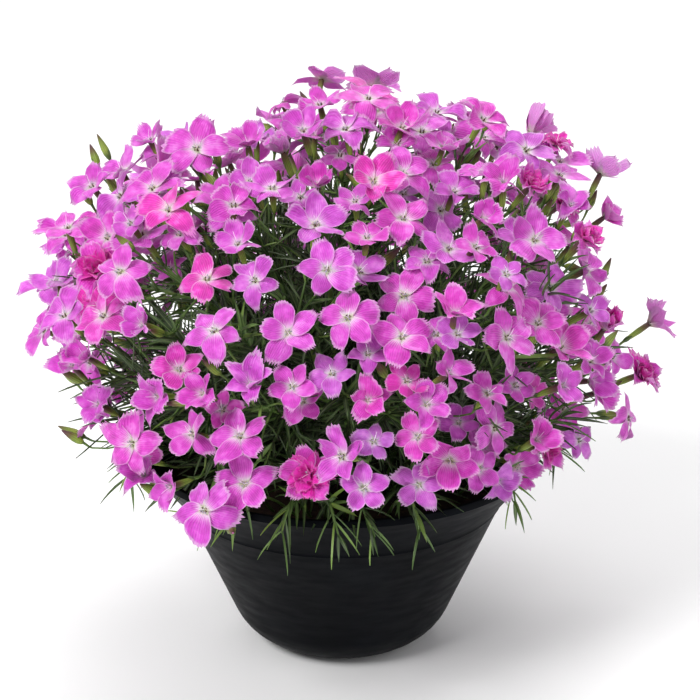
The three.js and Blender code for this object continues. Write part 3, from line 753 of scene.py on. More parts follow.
def readNode(name):
    shape = bmesh.new()
    shape.from_mesh(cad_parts[name].data)
    bmesh.ops.remove_doubles(shape, verts=shape.verts, dist=grown["merge"] * mm)
    found = {"name": name, "blooms": [], "buds": [], "leaves": []}
    used = set()
    for vertex in shape.verts:
        lengths = [edge.calc_length() / mm for edge in vertex.link_edges]
        if len(lengths) == grown["outlinePoints"] and min(lengths) > grown["petalReach"]:
            bloom = readBloom(vertex)
            used |= bloom.pop("used")
            found["blooms"].append(bloom)
        elif len(lengths) == 3 and min(lengths) > grown["budTip"][0]:
            belt = neighbours(vertex)
            beyond = allNeighbours(belt, {vertex})
            if max(lengths) < grown["budTip"][1]:
                root = allNeighbours(beyond, belt)
                found["buds"].append({"tip": vertex.co.copy(), "foot": middle(beyond), "root": middle(root)})
                used |= {vertex, *belt, *beyond}
            else:
                corners = sorted(belt, key=lambda corner: -corner.co.z)
                found["leaves"].append({"tip": vertex.co.copy(), "bend": middle(belt), "root": middle(beyond),
                                        "across": corners[0].co - corners[-1].co})
                used |= {vertex, *belt}
    stem = set(shape.verts) - used
    layer = set(sorted(stem, key=lambda vertex: vertex.co.z)[:3])
    seen, path = set(), []
    while layer:
        path.append(middle(layer))
        seen |= layer
        layer = allNeighbours(layer, seen) & stem
    found["path"] = path
    shape.free()
    return found


sprays = [readNode(name) for name in sprayNodes]
tufts = [readNode(name) for name in tuftNodes]
print("read", sum(len(spray["blooms"]) for spray in sprays), "blooms,",
      sum(len(spray["buds"]) for spray in sprays), "buds and",
      sum(len(plant["leaves"]) for plant in sprays + tufts), "leaves")


# Side flowers: smaller blooms lower in the cover, wherever there is room beside a bloom

sideFlower = {  # mm
    "tries": 9,
    "frontShare": 0.04,  # of the blooms at the front that get a side flower
    "share": 0.75,
    "radius": (11.5, 14.5),
    "bloomRadius": 16,  # of the blooms that stand already
    "aside": (17, 27),
    "lower": (4, 20),
    "cup": (3, 24),  # degrees
    "petalHalfAngle": 27,
    "throatDepth": 1.2,
    "calyxLength": 13,
    "stalkRoot": (0.15, 0.4),  # share of its neighbour's stalk
    "sideLean": 0.5,
    "upLean": 0.25,
    "clearHeight": 8,
    "clearShare": 0.84,  # of the two radii, side by side
    "domeMiddle": Vector((0, 0, 112)) * mm,
    "rimRadius": 122,
    "rimHeight": 132,
    "lowest": 122,
    "frontDepth": 60,  # further back, a spot of the front view says nothing
    "lowestSeen": 508,  # px in the front view
    "halfOpenReach": 15,
    "halfOpen": (0.55, 7),  # share of the petals' reach and lift
    "smallReach": 27,
    "small": (0.78, 1),
    "bareReach": 28,
    "bare": [  # where leaves and stalks show between the blooms, px in the front view
        (318, 129), (290, 140), (242, 141), (220, 120), (318, 181), (227, 187), (213, 204), (257, 255),
        (279, 271), (299, 282), (134, 307), (132, 329), (78, 346), (61, 361), (96, 392), (159, 386),
        (196, 398), (149, 406), (112, 422), (172, 427), (181, 460), (135, 478), (157, 485), (237, 539),
        (251, 370), (316, 353), (340, 392), (356, 410), (313, 431), (285, 436), (332, 515), (399, 439),
        (455, 368), (456, 300), (497, 222), (513, 187), (575, 197), (587, 219), (613, 210), (616, 319),
        (570, 381), (597, 377), (607, 397), (512, 404), (543, 445), (598, 424), (504, 478), (542, 493),
    ],
    "wanted": [  # where a bloom fills a hole
        (364, 488), (407, 380), (179, 233), (292, 386), (340, 153), (434, 162), (368, 353), (355, 200),
        (459, 422), (149, 139), (556, 143), (507, 273), (42, 328), (480, 148), (230, 215), (300, 195),
        (455, 190), (419, 485), (367, 236), (458, 333), (146, 244), (170, 268), (427, 404), (397, 143),
        (404, 192), (544, 389), (69, 252), (129, 222), (436, 333), (124, 386), (615, 346), (374, 441),
        (427, 260), (222, 409), (477, 246), (98, 448),
    ],
    "wantedRadius": (10, 12.5),
    "wantedBareReach": 14,
    "wantedDepths": (0, 6, -6, 14, -12),
    "wantedShare": 0.6,
}


def allBlooms():
    return [bloom for spray in sprays for bloom in spray["blooms"]]


def isFront(bloom):
    return bloom["centre"].y < sideFlower["frontDepth"] * mm


def seenGap(bloom, spot):  # px in the front view
    return (framePlace(camera, bloom["centre"]) - Vector(spot)).length


def nearestFront(spot):  # the front bloom that shows nearest to a spot, with its spray
    pairs = [(spray, bloom) for spray in sprays for bloom in spray["blooms"] if isFront(bloom)]
    return min(pairs, key=lambda pair: seenGap(pair[1], spot))


def sideOf(axis, turn):  # a way square to the axis, turned round it
    side = axis.orthogonal().normalized()
    side.rotate(Quaternion(axis, turn))
    return side


def haveRoom(centre, radius, taken, clearShare):
    if centre.z < sideFlower["rimHeight"] * mm and centre.xy.length < sideFlower["rimRadius"] * mm:
        return False
    if centre.z < sideFlower["lowest"] * mm:
        return False
    for other, facing, otherRadius in taken:
        gap = centre - other
        height = gap.dot(facing)
        if abs(height) > sideFlower["clearHeight"] * mm:
            continue
        if (gap - facing * height).length < (radius + otherRadius) * clearShare:
            return False
    return True


def isBare(centre, reach):
    seen = framePlace(camera, centre)
    near = any((seen - Vector(spot)).length < reach for spot in sideFlower["bare"])
    return centre.y < sideFlower["frontDepth"] * mm and (near or seen.y > sideFlower["lowestSeen"])


def closeBareBlooms():  # blooms of the frame in a bare place are half open, and those beside it small
    counts = {"halfOpen": 0, "small": 0}
    for bloom in allBlooms():
        near = min(seenGap(bloom, spot) for spot in sideFlower["bare"])
        if near > sideFlower["smallReach"] or not isFront(bloom):
            continue
        kind = "halfOpen" if near < sideFlower["halfOpenReach"] else "small"
        share, lift = sideFlower[kind]
        throat = bloom["throat"]
        start = throat + bloom["facing"] * lift * mm
        bloom["petals"] = [[start + (corner - throat) * share for corner in pair] for pair in bloom["petals"]]
        counts[kind] += 1
    print(counts["halfOpen"], "blooms are half open and", counts["small"], "are small")


def openPetals(throat, facing, radius):
    cup = math.radians(chance.uniform(*sideFlower["cup"]))
    half = math.radians(sideFlower["petalHalfAngle"])
    across = sideOf(facing, chance.uniform(*anyTurn))
    petals = []
    for number in range(5):
        corners = []
        for side in (-half, half):
            out = Quaternion(facing, fifthTurn * number + side) @ across
            corners.append(throat + (out * math.cos(cup) + facing * math.sin(cup)) * radius)
        petals.append(corners)
    return petals


def growSideFlower(parent, centre, side, radius, taken):
    outward = (centre - sideFlower["domeMiddle"]).normalized()
    outward += up * sideFlower["upLean"]
    facing = (outward + side * chance.uniform(0, sideFlower["sideLean"])).normalized()
    throat = centre - facing * sideFlower["throatDepth"] * mm
    neck = centre - facing * grown["neckDepth"] * mm
    foot = neck - facing * sideFlower["calyxLength"] * mm
    stalk = stalkPath(parent["root"], parent["foot"], parent["facing"])
    root, _ = pointAlong(stalk, chance.uniform(*sideFlower["stalkRoot"]))
    taken.append((centre, facing, radius))
    petals = openPetals(throat, facing, radius)
    return {"throat": throat, "centre": centre, "facing": facing, "petals": petals,
            "neck": neck, "foot": foot, "root": root}


def findSideFlower(parent, taken):
    outward = (parent["centre"] - sideFlower["domeMiddle"]).normalized()
    side = sideOf(outward, chance.uniform(*anyTurn))
    radius = chance.uniform(*sideFlower["radius"]) * mm
    centre = parent["centre"] + side * chance.uniform(*sideFlower["aside"]) * mm
    centre -= outward * chance.uniform(*sideFlower["lower"]) * mm
    isFree = haveRoom(centre, radius, taken, sideFlower["clearShare"])
    if isFree and not isBare(centre, sideFlower["bareReach"]):
        return growSideFlower(parent, centre, side, radius, taken)
    return None


def findWantedFlower(spot, taken):
    spray, parent = nearestFront(spot)
    distance = (parent["centre"] - frontView["eye"]).length
    radius = chance.uniform(*sideFlower["wantedRadius"]) * mm
    for depth in sideFlower["wantedDepths"]:
        centre = frontView["eye"] + frameRay(camera, spot) * (distance + depth * mm)
        isFree = haveRoom(centre, radius, taken, sideFlower["wantedShare"])
        if isFree and not isBare(centre, sideFlower["wantedBareReach"]):
            side = (centre - parent["centre"]).normalized()
            spray["blooms"].append(growSideFlower(parent, centre, side, radius, taken))
            return True
    return False


def addSideFlowers():
    taken = [(bloom["centre"], bloom["facing"], sideFlower["bloomRadius"] * mm) for bloom in allBlooms()]
    count = sum(findWantedFlower(spot, taken) for spot in sideFlower["wanted"])
    print("filled", count, "holes")
    for spray in sprays:
        for parent in list(spray["blooms"]):
            if chance.random() > sideFlower["frontShare" if isFront(parent) else "share"]:
                continue
            found = None
            for _ in range(sideFlower["tries"]):
                found = found or findSideFlower(parent, taken)
            if found:
                spray["blooms"].append(found)
                count += 1
    print("added", count, "side flowers")


faced = {"from": 55, "turn": 20}  # degrees: blooms that lean away further than this turn back by that much


def faceFront():  # blooms at the outline turn towards the front, to the light
    for bloom in allBlooms():
        view = frontView["eye"] - bloom["centre"]
        isAway = bloom["facing"].angle(view) > math.radians(faced["from"])
        if isAway and isFront(bloom):
            turn = Quaternion(bloom["facing"].cross(view).normalized(), math.radians(faced["turn"]))
            throat, petals = bloom["throat"], bloom["petals"]
            bloom["petals"] = [[throat + turn @ (corner - throat) for corner in pair] for pair in petals]
            bloom["facing"] = turn @ bloom["facing"]


marked = {  # blooms with a look of their own, by where they stand in the front view, px
    "full": [(655, 322), (642, 378), (587, 252), (540, 124), (540, 470), (302, 468), (107, 303), (100, 262)],
    "deep": [(373, 80), (383, 170), (410, 370), (225, 270), (180, 190)],
    "fading": [(500, 497), (533, 212), (360, 435), (472, 330), (125, 440)],
    "fullShare": 0.02,  # of all the others
    "turned": 80,  # degrees away from the front at most
    "tones": {"deep": (0.8, 0.86), "fading": (0.05, 0.2)},
    "fullTone": 1,
    "plainTone": (0.46, 0.12),  # mean and spread
    "plainLimits": (0.2, 0.84),
}


def markBlooms():
    for bloom in allBlooms():
        isFull = not isFront(bloom) and chance.random() < marked["fullShare"]
        bloom["look"] = "full" if isFull else "plain"
    front = [bloom for bloom in allBlooms() if isFront(bloom)
             and bloom["facing"].angle(frontView["eye"] - bloom["centre"]) < math.radians(marked["turned"])]
    for look in ("fading", "deep", "full"):
        for spot in marked[look]:
            nearest = min(front, key=lambda bloom: seenGap(bloom, spot))
            nearest["look"] = look


def toneOf(look):
    if look == "full":
        return marked["fullTone"]
    if look in marked["tones"]:
        return chance.uniform(*marked["tones"][look])
    least, most = marked["plainLimits"]
    return min(most, max(least, chance.gauss(*marked["plainTone"])))


def curlOf(mood, frill):
    return {
        "channel": mood["channel"] + chance.gauss(0, petal["channelSpread"]),
        "tip": mood["tip"] + chance.gauss(0, petal["tipSpread"]),
        "fold": chance.gauss(0, petal["fold"]),
        "flank": chance.choice((-1, 1)),
        "ruffle": chance.uniform(*petal["ruffle"]) * frill,
        "phase": chance.uniform(*anyTurn),
        "sway": chance.gauss(0, petal["sway"]),
        "twist": chance.gauss(0, petal["twist"]),
    }


def bloomPetals(bundle, petalShapes, bloom):
    look, facing, throat = bloom["look"], bloom["facing"], bloom["throat"]
    lean = sum(((first + second) / 2 - throat).angle(facing) for first, second in bloom["petals"]) / 5
    least, most = petal["fullLean"]
    if math.radians(least) < lean < math.radians(most):
        look = "full"
    isFull = look == "full"
    whorls = [(1, 0, 0)] + (petal["innerWhorls"] if isFull else [])
    tone = toneOf(look)
    mood = {"channel": chance.uniform(*petal["channel"]), "tip": chance.uniform(*petal["tipCurl"])}
    for number, (share, turn, rise) in enumerate(whorls):
        spin = Quaternion(facing, math.radians(turn))
        for first, second in bloom["petals"]:
            length = ((first + second) / 2 - throat).length * petal["overlength"] * share
            length *= 1 + chance.uniform(-1, 1) * petal["lengthSpread"]
            points = [spin @ (corner - throat) for corner in (first, second)]
            points = [throat + point + facing * rise * point.length for point in points]
            place = petalPlace(throat, *points, length, curlOf(mood, petal["fullFrill"] if isFull else 1))
            own = petal["fullOuterTone"] if isFull and number == 0 else tone
            addCopy(bundle, chance.choice(petalShapes), place, tone=own)


def makePetals():
    petalShapes = [modelPetal(halfWidths, shoulderDrop) for halfWidths, shoulderDrop in petal["outlines"]]
    materials = [petalFace(), petalBack(), styleSkin(), antherSkin()]
    style, anther = modelStyle(), modelAnther()
    for spray in sprays:
        bundle = newBundle()
        for bloom in spray["blooms"]:
            bloomPetals(bundle, petalShapes, bloom)
            addAnthers(bundle, anther, bloom)
            addStyles(bundle, style, bloom)
        name = spray["name"]
        item = bundleObject(bundle, "petals", [])
        finishPiece(item, name + "_petals", materials, [name], smoothAngle=55)


# Styles: two thin white threads that curl out of every throat, with a few dusty anthers round their foot

styles = {  # mm
    "length": (5.5, 8),
    "radius": 0.26,
    "thinning": 0.7,  # share of its radius that goes by the tip
    "depth": 1,  # of its foot under the throat
    "spread": 0.42,  # share of its length that the tip stands to the side
    "turnSpread": 0.4,  # radians
    "segments": 5,
    "anthers": 3,
    "antherSize": (0.34, 0.75),
    "antherReach": (0.6, 2.1),
    "antherHeight": (1.0, 2.6),
    "antherLean": (-0.5, 1),
}


# Style: a soft, milky white thread, faintly pink.
def styleSkin():
    material, tree = newMaterial("milkyStyle")
    place = addNode(tree, "TexCoord").outputs["Object"]
    blush = addNode(tree, "TexNoise", {"Scale": 1 / (3 * mm)}, {"Vector": place})
    tint = addNode(tree, "ValToRGB", {"stops": colours((0.3, "#FFFFFF"), (0.8, "#F3D9EE"))}, {"Fac": blush})
    return finishMaterial(material, {"Roughness": 0.5}, {"Base Color": tint})


# Anther: a dusty grain, pale violet grey.
def antherSkin():
    material, tree = newMaterial("dustyAnther")
    place = addNode(tree, "TexCoord").outputs["Object"]
    dust = addNode(tree, "TexNoise", {"Scale": 1 / (0.4 * mm)}, {"Vector": place})
    tint = addNode(tree, "ValToRGB", {"stops": colours((0.35, "#8A7F98"), (0.7, "#C4BCCB"))}, {"Fac": dust})
    return finishMaterial(material, {"Roughness": 0.85}, {"Base Color": tint})


def modelAnther():
    deselectAll()
    bpy.ops.mesh.primitive_ico_sphere_add(subdivisions=1, radius=1)
    radius, halfLength = styles["antherSize"]
    bpy.ops.transform.resize(value=(radius, radius, halfLength))
    bpy.ops.object.transform_apply(scale=True)
    return takeShape(bpy.context.object)


def cutTube(sides, heights):  # a tube along z from 0 to 1, cut across and left in edit mode
    deselectAll()
    bpy.ops.mesh.primitive_cylinder_add(vertices=sides, radius=1, depth=1, location=(0, 0, 0.5))
    item = bpy.context.object
    bpy.ops.object.transform_apply(location=True)
    bpy.ops.object.mode_set(mode="EDIT")
    for height in heights:
        bpy.ops.mesh.select_all(action="SELECT")
        bpy.ops.mesh.bisect(plane_co=(0, 0, height), plane_no=(0, 0, 1))
    return item


def modelStyle():
    item = cutTube(4, [step / styles["segments"] for step in range(1, styles["segments"])])
    bpy.ops.object.mode_set(mode="OBJECT")
    return takeShape(item, lambda place: (0.5, place.z))


def addAnthers(bundle, shape, bloom):
    facing = bloom["facing"]
    for _ in range(styles["anthers"]):
        out = sideOf(facing, chance.uniform(*anyTurn))
        spot = bloom["throat"] + out * chance.uniform(*styles["antherReach"]) * mm
        spot += facing * chance.uniform(*styles["antherHeight"]) * mm
        turn = (out + facing * chance.uniform(*styles["antherLean"])).to_track_quat("Z", "Y")
        addCopy(bundle, shape, lambda point: spot + turn @ point * mm, slot=3)


def stylePlace(throat, facing, way, length):
    other = facing.cross(way)

    def place(point):
        thin = styles["radius"] * mm * (1 - styles["thinning"] * point.z)
        height = point.z * length - styles["depth"] * mm
        sideways = styles["spread"] * point.z ** 2.4 * length + point.x * thin
        return throat + facing * height + way * sideways + other * point.y * thin

    return place


def addStyles(bundle, shape, bloom):
    facing = bloom["facing"]
    side = sideOf(facing, chance.uniform(*anyTurn))
    for way in (side, -side):
        way.rotate(Quaternion(facing, chance.gauss(0, styles["turnSpread"])))
        length = chance.uniform(*styles["length"]) * mm
        addCopy(bundle, shape, stylePlace(bloom["throat"], facing, way, length), slot=2)


# Greens: stems, stalks, calyces, buds and leaves

green = {  # mm
    "stemRadius": 1.05,
    "stemTopRadius": 0.8,
    "nodeSwell": 1.55,
    "stalkRadii": [0.7, 0.55, 0.5225, 0.825],
    "bowPlace": 0.4,  # share of a stalk's length
    "bowDepth": 0.03,
    "straightEnd": (6, 0.25),  # mm and share of its length, whichever is less
    "shootRadii": [0.9, 0.85, 0.8, 0.7, 0.5],
    "calyxRadius": 1.8,
    "calyxOverlap": 1.5,  # how far the calyx reaches past its neck towards the petals
    "calyxProfile": [(0.0, 0.32), (0.08, 0.52), (0.28, 0.8), (0.6, 1.0), (0.86, 0.95), (1.0, 0.8)],
    "mouthEdge": 0.12,
    "mouthDepth": 0.3,
    "toothRise": 0.16,
    "bractLength": 6.5,
    "bractWidth": 2.4,
    "bractLean": 0.42,  # away from the tube
    "bractDrop": 0.6,  # of its root under the tube's foot
    "bractTone": 0.6,
    "bractTurn": (0, 3.1),  # radians
    "budRadius": 2.4,
    "budProfile": [(0.0, 0.45), (0.08, 0.72), (0.22, 0.96), (0.42, 1.0), (0.68, 0.72), (0.9, 0.34),
                   (1.0, 0.12)],
    "petalsFrom": 0.9,  # share of its length from which a bud shows its petals
    "sizeSpread": (0.88, 1.1),
    "leafHalfWidths": [0.65, 0.95, 1.0, 0.82, 0.48, 0.06],
    "leafWidth": 2.2,
    "frameLeafWidth": 2.42,
    "frameLeafStretch": 0.15,
    "frameLeafTone": (0.36, 0.18),  # mean and spread
    "leafThickness": 0.3,
    "leafChannel": 0.3,
}
extraLeaves = {  # mm, pairs that cross each other up the stems and stalks
    "stemSpacing": 3.2,
    "stemSpan": (0.22, 0.97),  # shares of the way up
    "stalkSpacing": 8,
    "stalkSpan": (0.1, 0.62),
    "stalkWidth": 2.0,
    "shootSpan": (0.3, 1),
    "shadeReach": 125,  # painted shade and light: leaves nearer to the middle of the dome are painted darker, and those further out paler
    "shade": 0.0045,  # tone per mm
    "tone": 0.42,
    "toneSpread": 0.2,
    "tuftSpacing": 3.2,
    "length": (21, 40),
    "stalkLength": (9, 20),
    "topShare": 0.9,  # length at a stem's top end, in shares of that at its foot
    "widthSpread": (0.8, 1.15),
    "rise": (30, 66),  # degrees above square to the stem
    "droop": (0.1, 0.5),
    "bendShare": 0.55,  # of the length, up to where a leaf droops
    "tipShare": 0.5,
    "tipWay": (0.6, 0.25),  # shares of the leaf's and the stem's way
    "jitter": (0.2, 0.8),  # share of the spacing
    "turnSpread": 0.3,  # radians
    "liftBelow": 110,  # leaves that would dip under this height inside the pot's rim turn up
    "liftInside": 95,
    "lift": 0.5,
}
extraBuds = {  # mm, on side stalks
    "share": 0.6,  # of the blooms' stalks that carry one
    "frontShare": 0.12,  # where the bloom faces the front
    "frontTurn": 50,  # degrees
    "length": (12, 17),
    "stalk": (14, 30),
    "along": (0.35, 0.75),
    "way": (0.6, 0.5, 0.7, 0.2),  # shares of the stalk's way, outwards, to the side and up
    "straighten": 0.6,  # share of the stalk's way that the bud itself takes up again
    "wantedAlong": (0.15, 0.6),
    "wantedLift": 0.4,
    "wanted": [  # tips that stand out between or beyond the blooms, px in the front view
        (97, 134), (196, 117), (78, 183), (105, 175), (424, 92), (492, 109), (214, 144), (583, 222),
        (597, 190), (607, 284), (580, 342), (589, 428), (58, 369), (58, 426), (140, 484), (622, 381),
        (455, 292), (88, 362), (560, 178), (150, 330), (510, 250), (233, 533), (330, 120), (618, 330),
    ],
    "wantedDepths": (0, 8, -8, 16, -16, 26, 36, 48, -24),
    "clear": 13,  # from the middle of a bloom
    "tries": 6,
}
rimSprigs = {  # mm, leafy side shoots that hang over the pot's rim
    "bearings": (-118, -109, -103, -96, -88, -72, -40, -10, 45, 95, 150, 190),
    "route": [(80, 104), (97, 120), (111, 126), (119, 121), (123, 113)],  # radius and height
    "hinge": 116,  # height that the end hangs from
    "hang": (0.4, 1.3),
    "sway": 9,
    "spacing": 5.2,
    "length": (15, 27),
    "width": 2.1,
    # painted light: the sprigs out over the rim get a paler tone
    "tone": 0.72,
}
innerShoots = {  # mm, leafy shoots that fill the plant from within
    "bearings": range(-176, 180, 14),
    "route": [(46, 98), (62, 122), (84, 146), (108, 166), (130, 182)],
    "hinge": 98,
    "hang": (0.5, 1.6),
    "sway": 6,
    "spacing": 3.8,
    "length": (22, 38),
    "width": 2.3,
    # painted shade: the shoots deep inside the plant get a darker tone
    "tone": 0.36,
}


# Leaf: tough, narrow and waxy, dark green with a paler keel and an uneven grey bloom.
def waxyLeaf():
    material, tree = newMaterial("waxyDianthusLeaf")
    tone = addNode(tree, "Attribute", {"attribute_name": "tone"}).outputs["Fac"]
    _, across, _ = pieceMap(tree)
    place = addNode(tree, "TexCoord").outputs["Object"]
    body = addNode(tree, "ValToRGB", {
        "stops": colours((0.0, "#222E1A"), (0.42, "#334824"), (0.75, "#557534"), (1.0, "#86A648")),
    }, {"Fac": tone})
    wax = addNode(tree, "TexNoise", {"Scale": 1 / (9 * mm), "Detail": 4}, {"Vector": place})
    waxShare = addNode(tree, "MapRange", {"From Min": 0.45, "From Max": 0.75, "To Max": 0.3}, {"Value": wax})
    waxed = addNode(tree, "Mix", {"data_type": "RGBA", "B": linear("#74896A")},
                    {"Factor": waxShare, "A": body})
    aside = addNode(tree, "Math", {"operation": "SUBTRACT", 1: 0.5}, {0: across})
    keel = addNode(tree, "Math", {"operation": "ABSOLUTE"}, {0: aside})
    keelShare = addNode(tree, "MapRange", {"From Min": 0.0, "From Max": 0.16, "To Min": 0.5, "To Max": 0},
                        {"Value": keel})
    tint = addNode(tree, "Mix", {"data_type": "RGBA", "B": linear("#8FA568")},
                   {"Factor": keelShare, "A": waxed})
    return finishMaterial(material, {"Roughness": 0.48, "Specular IOR Level": 0.4}, {"Base Color": tint})


# Stem: wiry and smooth, mid green, paler and greyer than the leaves.
def wiryStem():
    material, tree = newMaterial("wiryGreenStem")
    place = addNode(tree, "TexCoord").outputs["Object"]
    mottle = addNode(tree, "TexNoise", {"Scale": 1 / (12 * mm), "Detail": 3}, {"Vector": place})
    tint = addNode(tree, "ValToRGB", {
        "stops": colours((0.3, "#3F5829"), (0.55, "#5E7B3A"), (0.8, "#8A9E55")),
    }, {"Fac": mottle})
    return finishMaterial(material, {"Roughness": 0.5, "Specular IOR Level": 0.4}, {"Base Color": tint})


# Calyx and bud: ribbed green tubes that turn purple brown towards their teeth and tips, with painted shade in
# the grooves between the ribs.
def ribbedCalyx():
    material, tree = newMaterial("ribbedCalyx")
    tone = addNode(tree, "Attribute", {"attribute_name": "tone"}).outputs["Fac"]
    _, across, along = pieceMap(tree)
    ripe = addNode(tree, "MapRange", {"From Max": 1, "To Min": -0.18, "To Max": 0.18}, {"Value": tone})
    height = addNode(tree, "Math", {"operation": "ADD"}, {0: along, 1: ripe})
    body = addNode(tree, "ValToRGB", {
        "stops": colours((0.0, "#55702F"), (0.22, "#9DB44A"), (0.5, "#8AA03E"), (0.74, "#6E5C30"),
                         (0.95, "#5C2A3C")),
    }, {"Fac": height})
    ribs = addNode(tree, "Math", {"operation": "MULTIPLY", 1: 2 * math.pi * 12}, {0: across})  # 12 ribs
    wave = addNode(tree, "Math", {"operation": "SINE"}, {0: ribs})
    # painted shade: the grooves between the ribs are painted darker
    grooveShade = addNode(tree, "MapRange", {"From Min": -1, "From Max": 1, "To Min": 0.45, "To Max": 0},
                       {"Value": wave})
    tint = addNode(tree, "Mix", {"data_type": "RGBA", "B": linear("#3C4626")},
                   {"Factor": grooveShade, "A": body})
    bump = addNode(tree, "Bump", {"Strength": 0.4, "Distance": 0.2 * mm}, {"Height": wave})
    return finishMaterial(material, {"Roughness": 0.5, "Specular IOR Level": 0.4},
                          {"Base Color": tint, "Normal": bump})


# Bud tip: rolled petals that show as a dull pink point.
def rolledPetals():
    material, tree = newMaterial("rolledPetalTip")
    _, _, along = pieceMap(tree)
    tint = addNode(tree, "ValToRGB", {
        "stops": colours((0.7, "#B02E86"), (0.85, "#D94BB0"), (1.0, "#E87BC9")),
    }, {"Fac": along})
    return finishMaterial(material, {"Roughness": 0.6}, {"Base Color": tint})


def modelTube(profile):  # eight-sided, with a share of its radius at each height
    item = cutTube(8, [height for height, _ in profile[1:-1]])
    for height, share in profile:
        selectPoints(item, lambda place: abs(place.z - height) < 0.001)
        bpy.ops.transform.resize(value=(share, share, 1), center_override=(0, 0, height))
    return item


def roundMap(place):
    return math.atan2(place.y, place.x) / (2 * math.pi) + 0.5, place.z


def modelCalyx():
    item = modelTube(green["calyxProfile"])

    bpy.ops.mesh.select_all(action="DESELECT")
    bpy.ops.mesh.select_mode(type="FACE")
    shape = bmesh.from_edit_mesh(item.data)
    for face in shape.faces:
        face.select = face.normal.z > 0.9
    bmesh.update_edit_mesh(item.data)
    bpy.ops.mesh.inset(thickness=green["mouthEdge"])
    bpy.ops.transform.translate(value=(0, 0, -green["mouthDepth"]))
    bpy.ops.mesh.select_mode(type="VERT")
    bpy.ops.object.mode_set(mode="OBJECT")
    for vertex in item.data.vertices:  # every other corner of the mouth is a tooth
        corner = round(math.atan2(vertex.co.y, vertex.co.x) / (math.pi / 4))
        if vertex.co.z > 0.99 and corner % 2:
            vertex.co.z += green["toothRise"]
    return takeShape(item, roundMap)


def modelBud():
    item = modelTube(green["budProfile"])
    bpy.ops.object.mode_set(mode="OBJECT")
    shape = takeShape(item, roundMap)
    lowest = [min(height for _, height in corners) for corners in shape["maps"]]
    shape["slots"] = [1 if height > green["petalsFrom"] else 0 for height in lowest]
    return shape


def modelLeaf():  # x across from -1 to 1, y along from 0 to 1, folded a little along its keel
    item = makeSheet(2, green["leafHalfWidths"])
    bpy.ops.object.mode_set(mode="EDIT")
    selectPoints(item, lambda place: abs(place.x) < 0.01)
    bpy.ops.transform.translate(value=(0, 0, -green["leafChannel"]))
    bpy.ops.object.mode_set(mode="OBJECT")
    closeSheet(item, green["leafThickness"])
    shape = takeShape(item)
    shape["slots"] = [0] * len(shape["faces"])
    return shape


def leafPlace(root, bend, tip, across, width):
    def place(point):
        step = point.y
        spot = root * (1 - step) ** 2 + bend * 2 * step * (1 - step) + tip * step ** 2
        run = ((bend - root) * (1 - step) + (tip - bend) * step).normalized()
        side = (across - run * across.dot(run)).normalized()
        return spot + (side * point.x + side.cross(run) * point.z) * width / 2

    return place


def tubePlace(foot, top, radius):
    run = top - foot
    turn = run.to_track_quat("Z", "Y")

    def place(point):
        return foot + turn @ Vector((point.x * radius, point.y * radius, point.z * run.length))

    return place


def addLeaf(bundle, shapes, root, way, stemWay, length, width, droop, tone):
    bend = root + way * length * extraLeaves["bendShare"]
    ownShare, stemShare = extraLeaves["tipWay"]
    end = (way * ownShare + stemWay * stemShare - up * droop).normalized()
    tip = bend + end * length * extraLeaves["tipShare"]
    across = way.cross(stemWay)
    addCopy(bundle, shapes["leaf"], leafPlace(root, bend, tip, across, width), slot=1, tone=tone)


def addPairs(bundle, shapes, path, spacing, lengths, width, span, middleTone=extraLeaves["tone"]):
    start, end = span
    total = sum((after - before).length for before, after in zip(path, path[1:]))
    count = max(1, int(total * (end - start) / (spacing * mm)))
    firstTurn = chance.uniform(0, math.pi)
    for number in range(count):
        step = number + chance.uniform(*extraLeaves["jitter"])
        spot, along = pointAlong(path, start + (end - start) * step / count)
        turn = firstTurn + number * math.pi / 2 + chance.gauss(0, extraLeaves["turnSpread"])
        side = sideOf(along, turn)
        for way in (side, -side):
            rise = math.radians(chance.uniform(*extraLeaves["rise"]))
            run = (way * math.cos(rise) + along * math.sin(rise)).normalized()
            length = chance.uniform(*lengths) * mm * (1 + (extraLeaves["topShare"] - 1) * number / count)
            isLow = (spot + run * length).z < extraLeaves["liftBelow"] * mm
            if isLow and spot.xy.length < extraLeaves["liftInside"] * mm:
                run = (run + up * extraLeaves["lift"]).normalized()
            # painted shade: the deeper in the dome a leaf stands, the darker its tone
            depth = (spot - sideFlower["domeMiddle"]).length / mm - extraLeaves["shadeReach"]
            tone = chance.gauss(middleTone, extraLeaves["toneSpread"]) + depth * extraLeaves["shade"]
            ownWidth = width * chance.uniform(*extraLeaves["widthSpread"]) * mm
            droop = chance.uniform(*extraLeaves["droop"])
            addLeaf(bundle, shapes, spot, run, along, length, ownWidth, droop, min(1, max(0, tone)))


def pointAlong(path, share):
    lengths = [(after - before).length for before, after in zip(path, path[1:])]
    left = share * sum(lengths)
    for before, after, length in zip(path, path[1:], lengths):
        if left <= length:
            return before.lerp(after, left / length), (after - before).normalized()
        left -= length
    return path[-1].copy(), (path[-1] - path[-2]).normalized()


def stalkPath(root, foot, facing):
    gap = (foot - root).length
    bow = root.lerp(foot, green["bowPlace"]) - facing * gap * green["bowDepth"]
    longest, share = green["straightEnd"]
    return [root, bow, foot - facing * min(longest * mm, gap * share), foot]


def addCurve(curve, points, radii):
    spline = curve.splines.new("BEZIER")
    spline.bezier_points.add(len(points) - 1)
    for spot, place, radius in zip(spline.bezier_points, points, radii):
        spot.co = place
        spot.radius = radius
        spot.handle_left_type = "AUTO"
        spot.handle_right_type = "AUTO"
    spline.resolution_u = 4


def stemObject(splines, name):
    curve = bpy.data.curves.new(name, "CURVE")
    curve.dimensions = "3D"
    curve.bevel_depth = 1 * mm
    curve.bevel_resolution = 1
    curve.use_fill_caps = True
    for points, radii in splines:
        addCurve(curve, points, radii)
    item = bpy.data.objects.new(name, curve)
    bpy.context.scene.collection.objects.link(item)
    selectOnly(item)
    bpy.ops.object.convert(target="MESH")
    return bpy.context.object


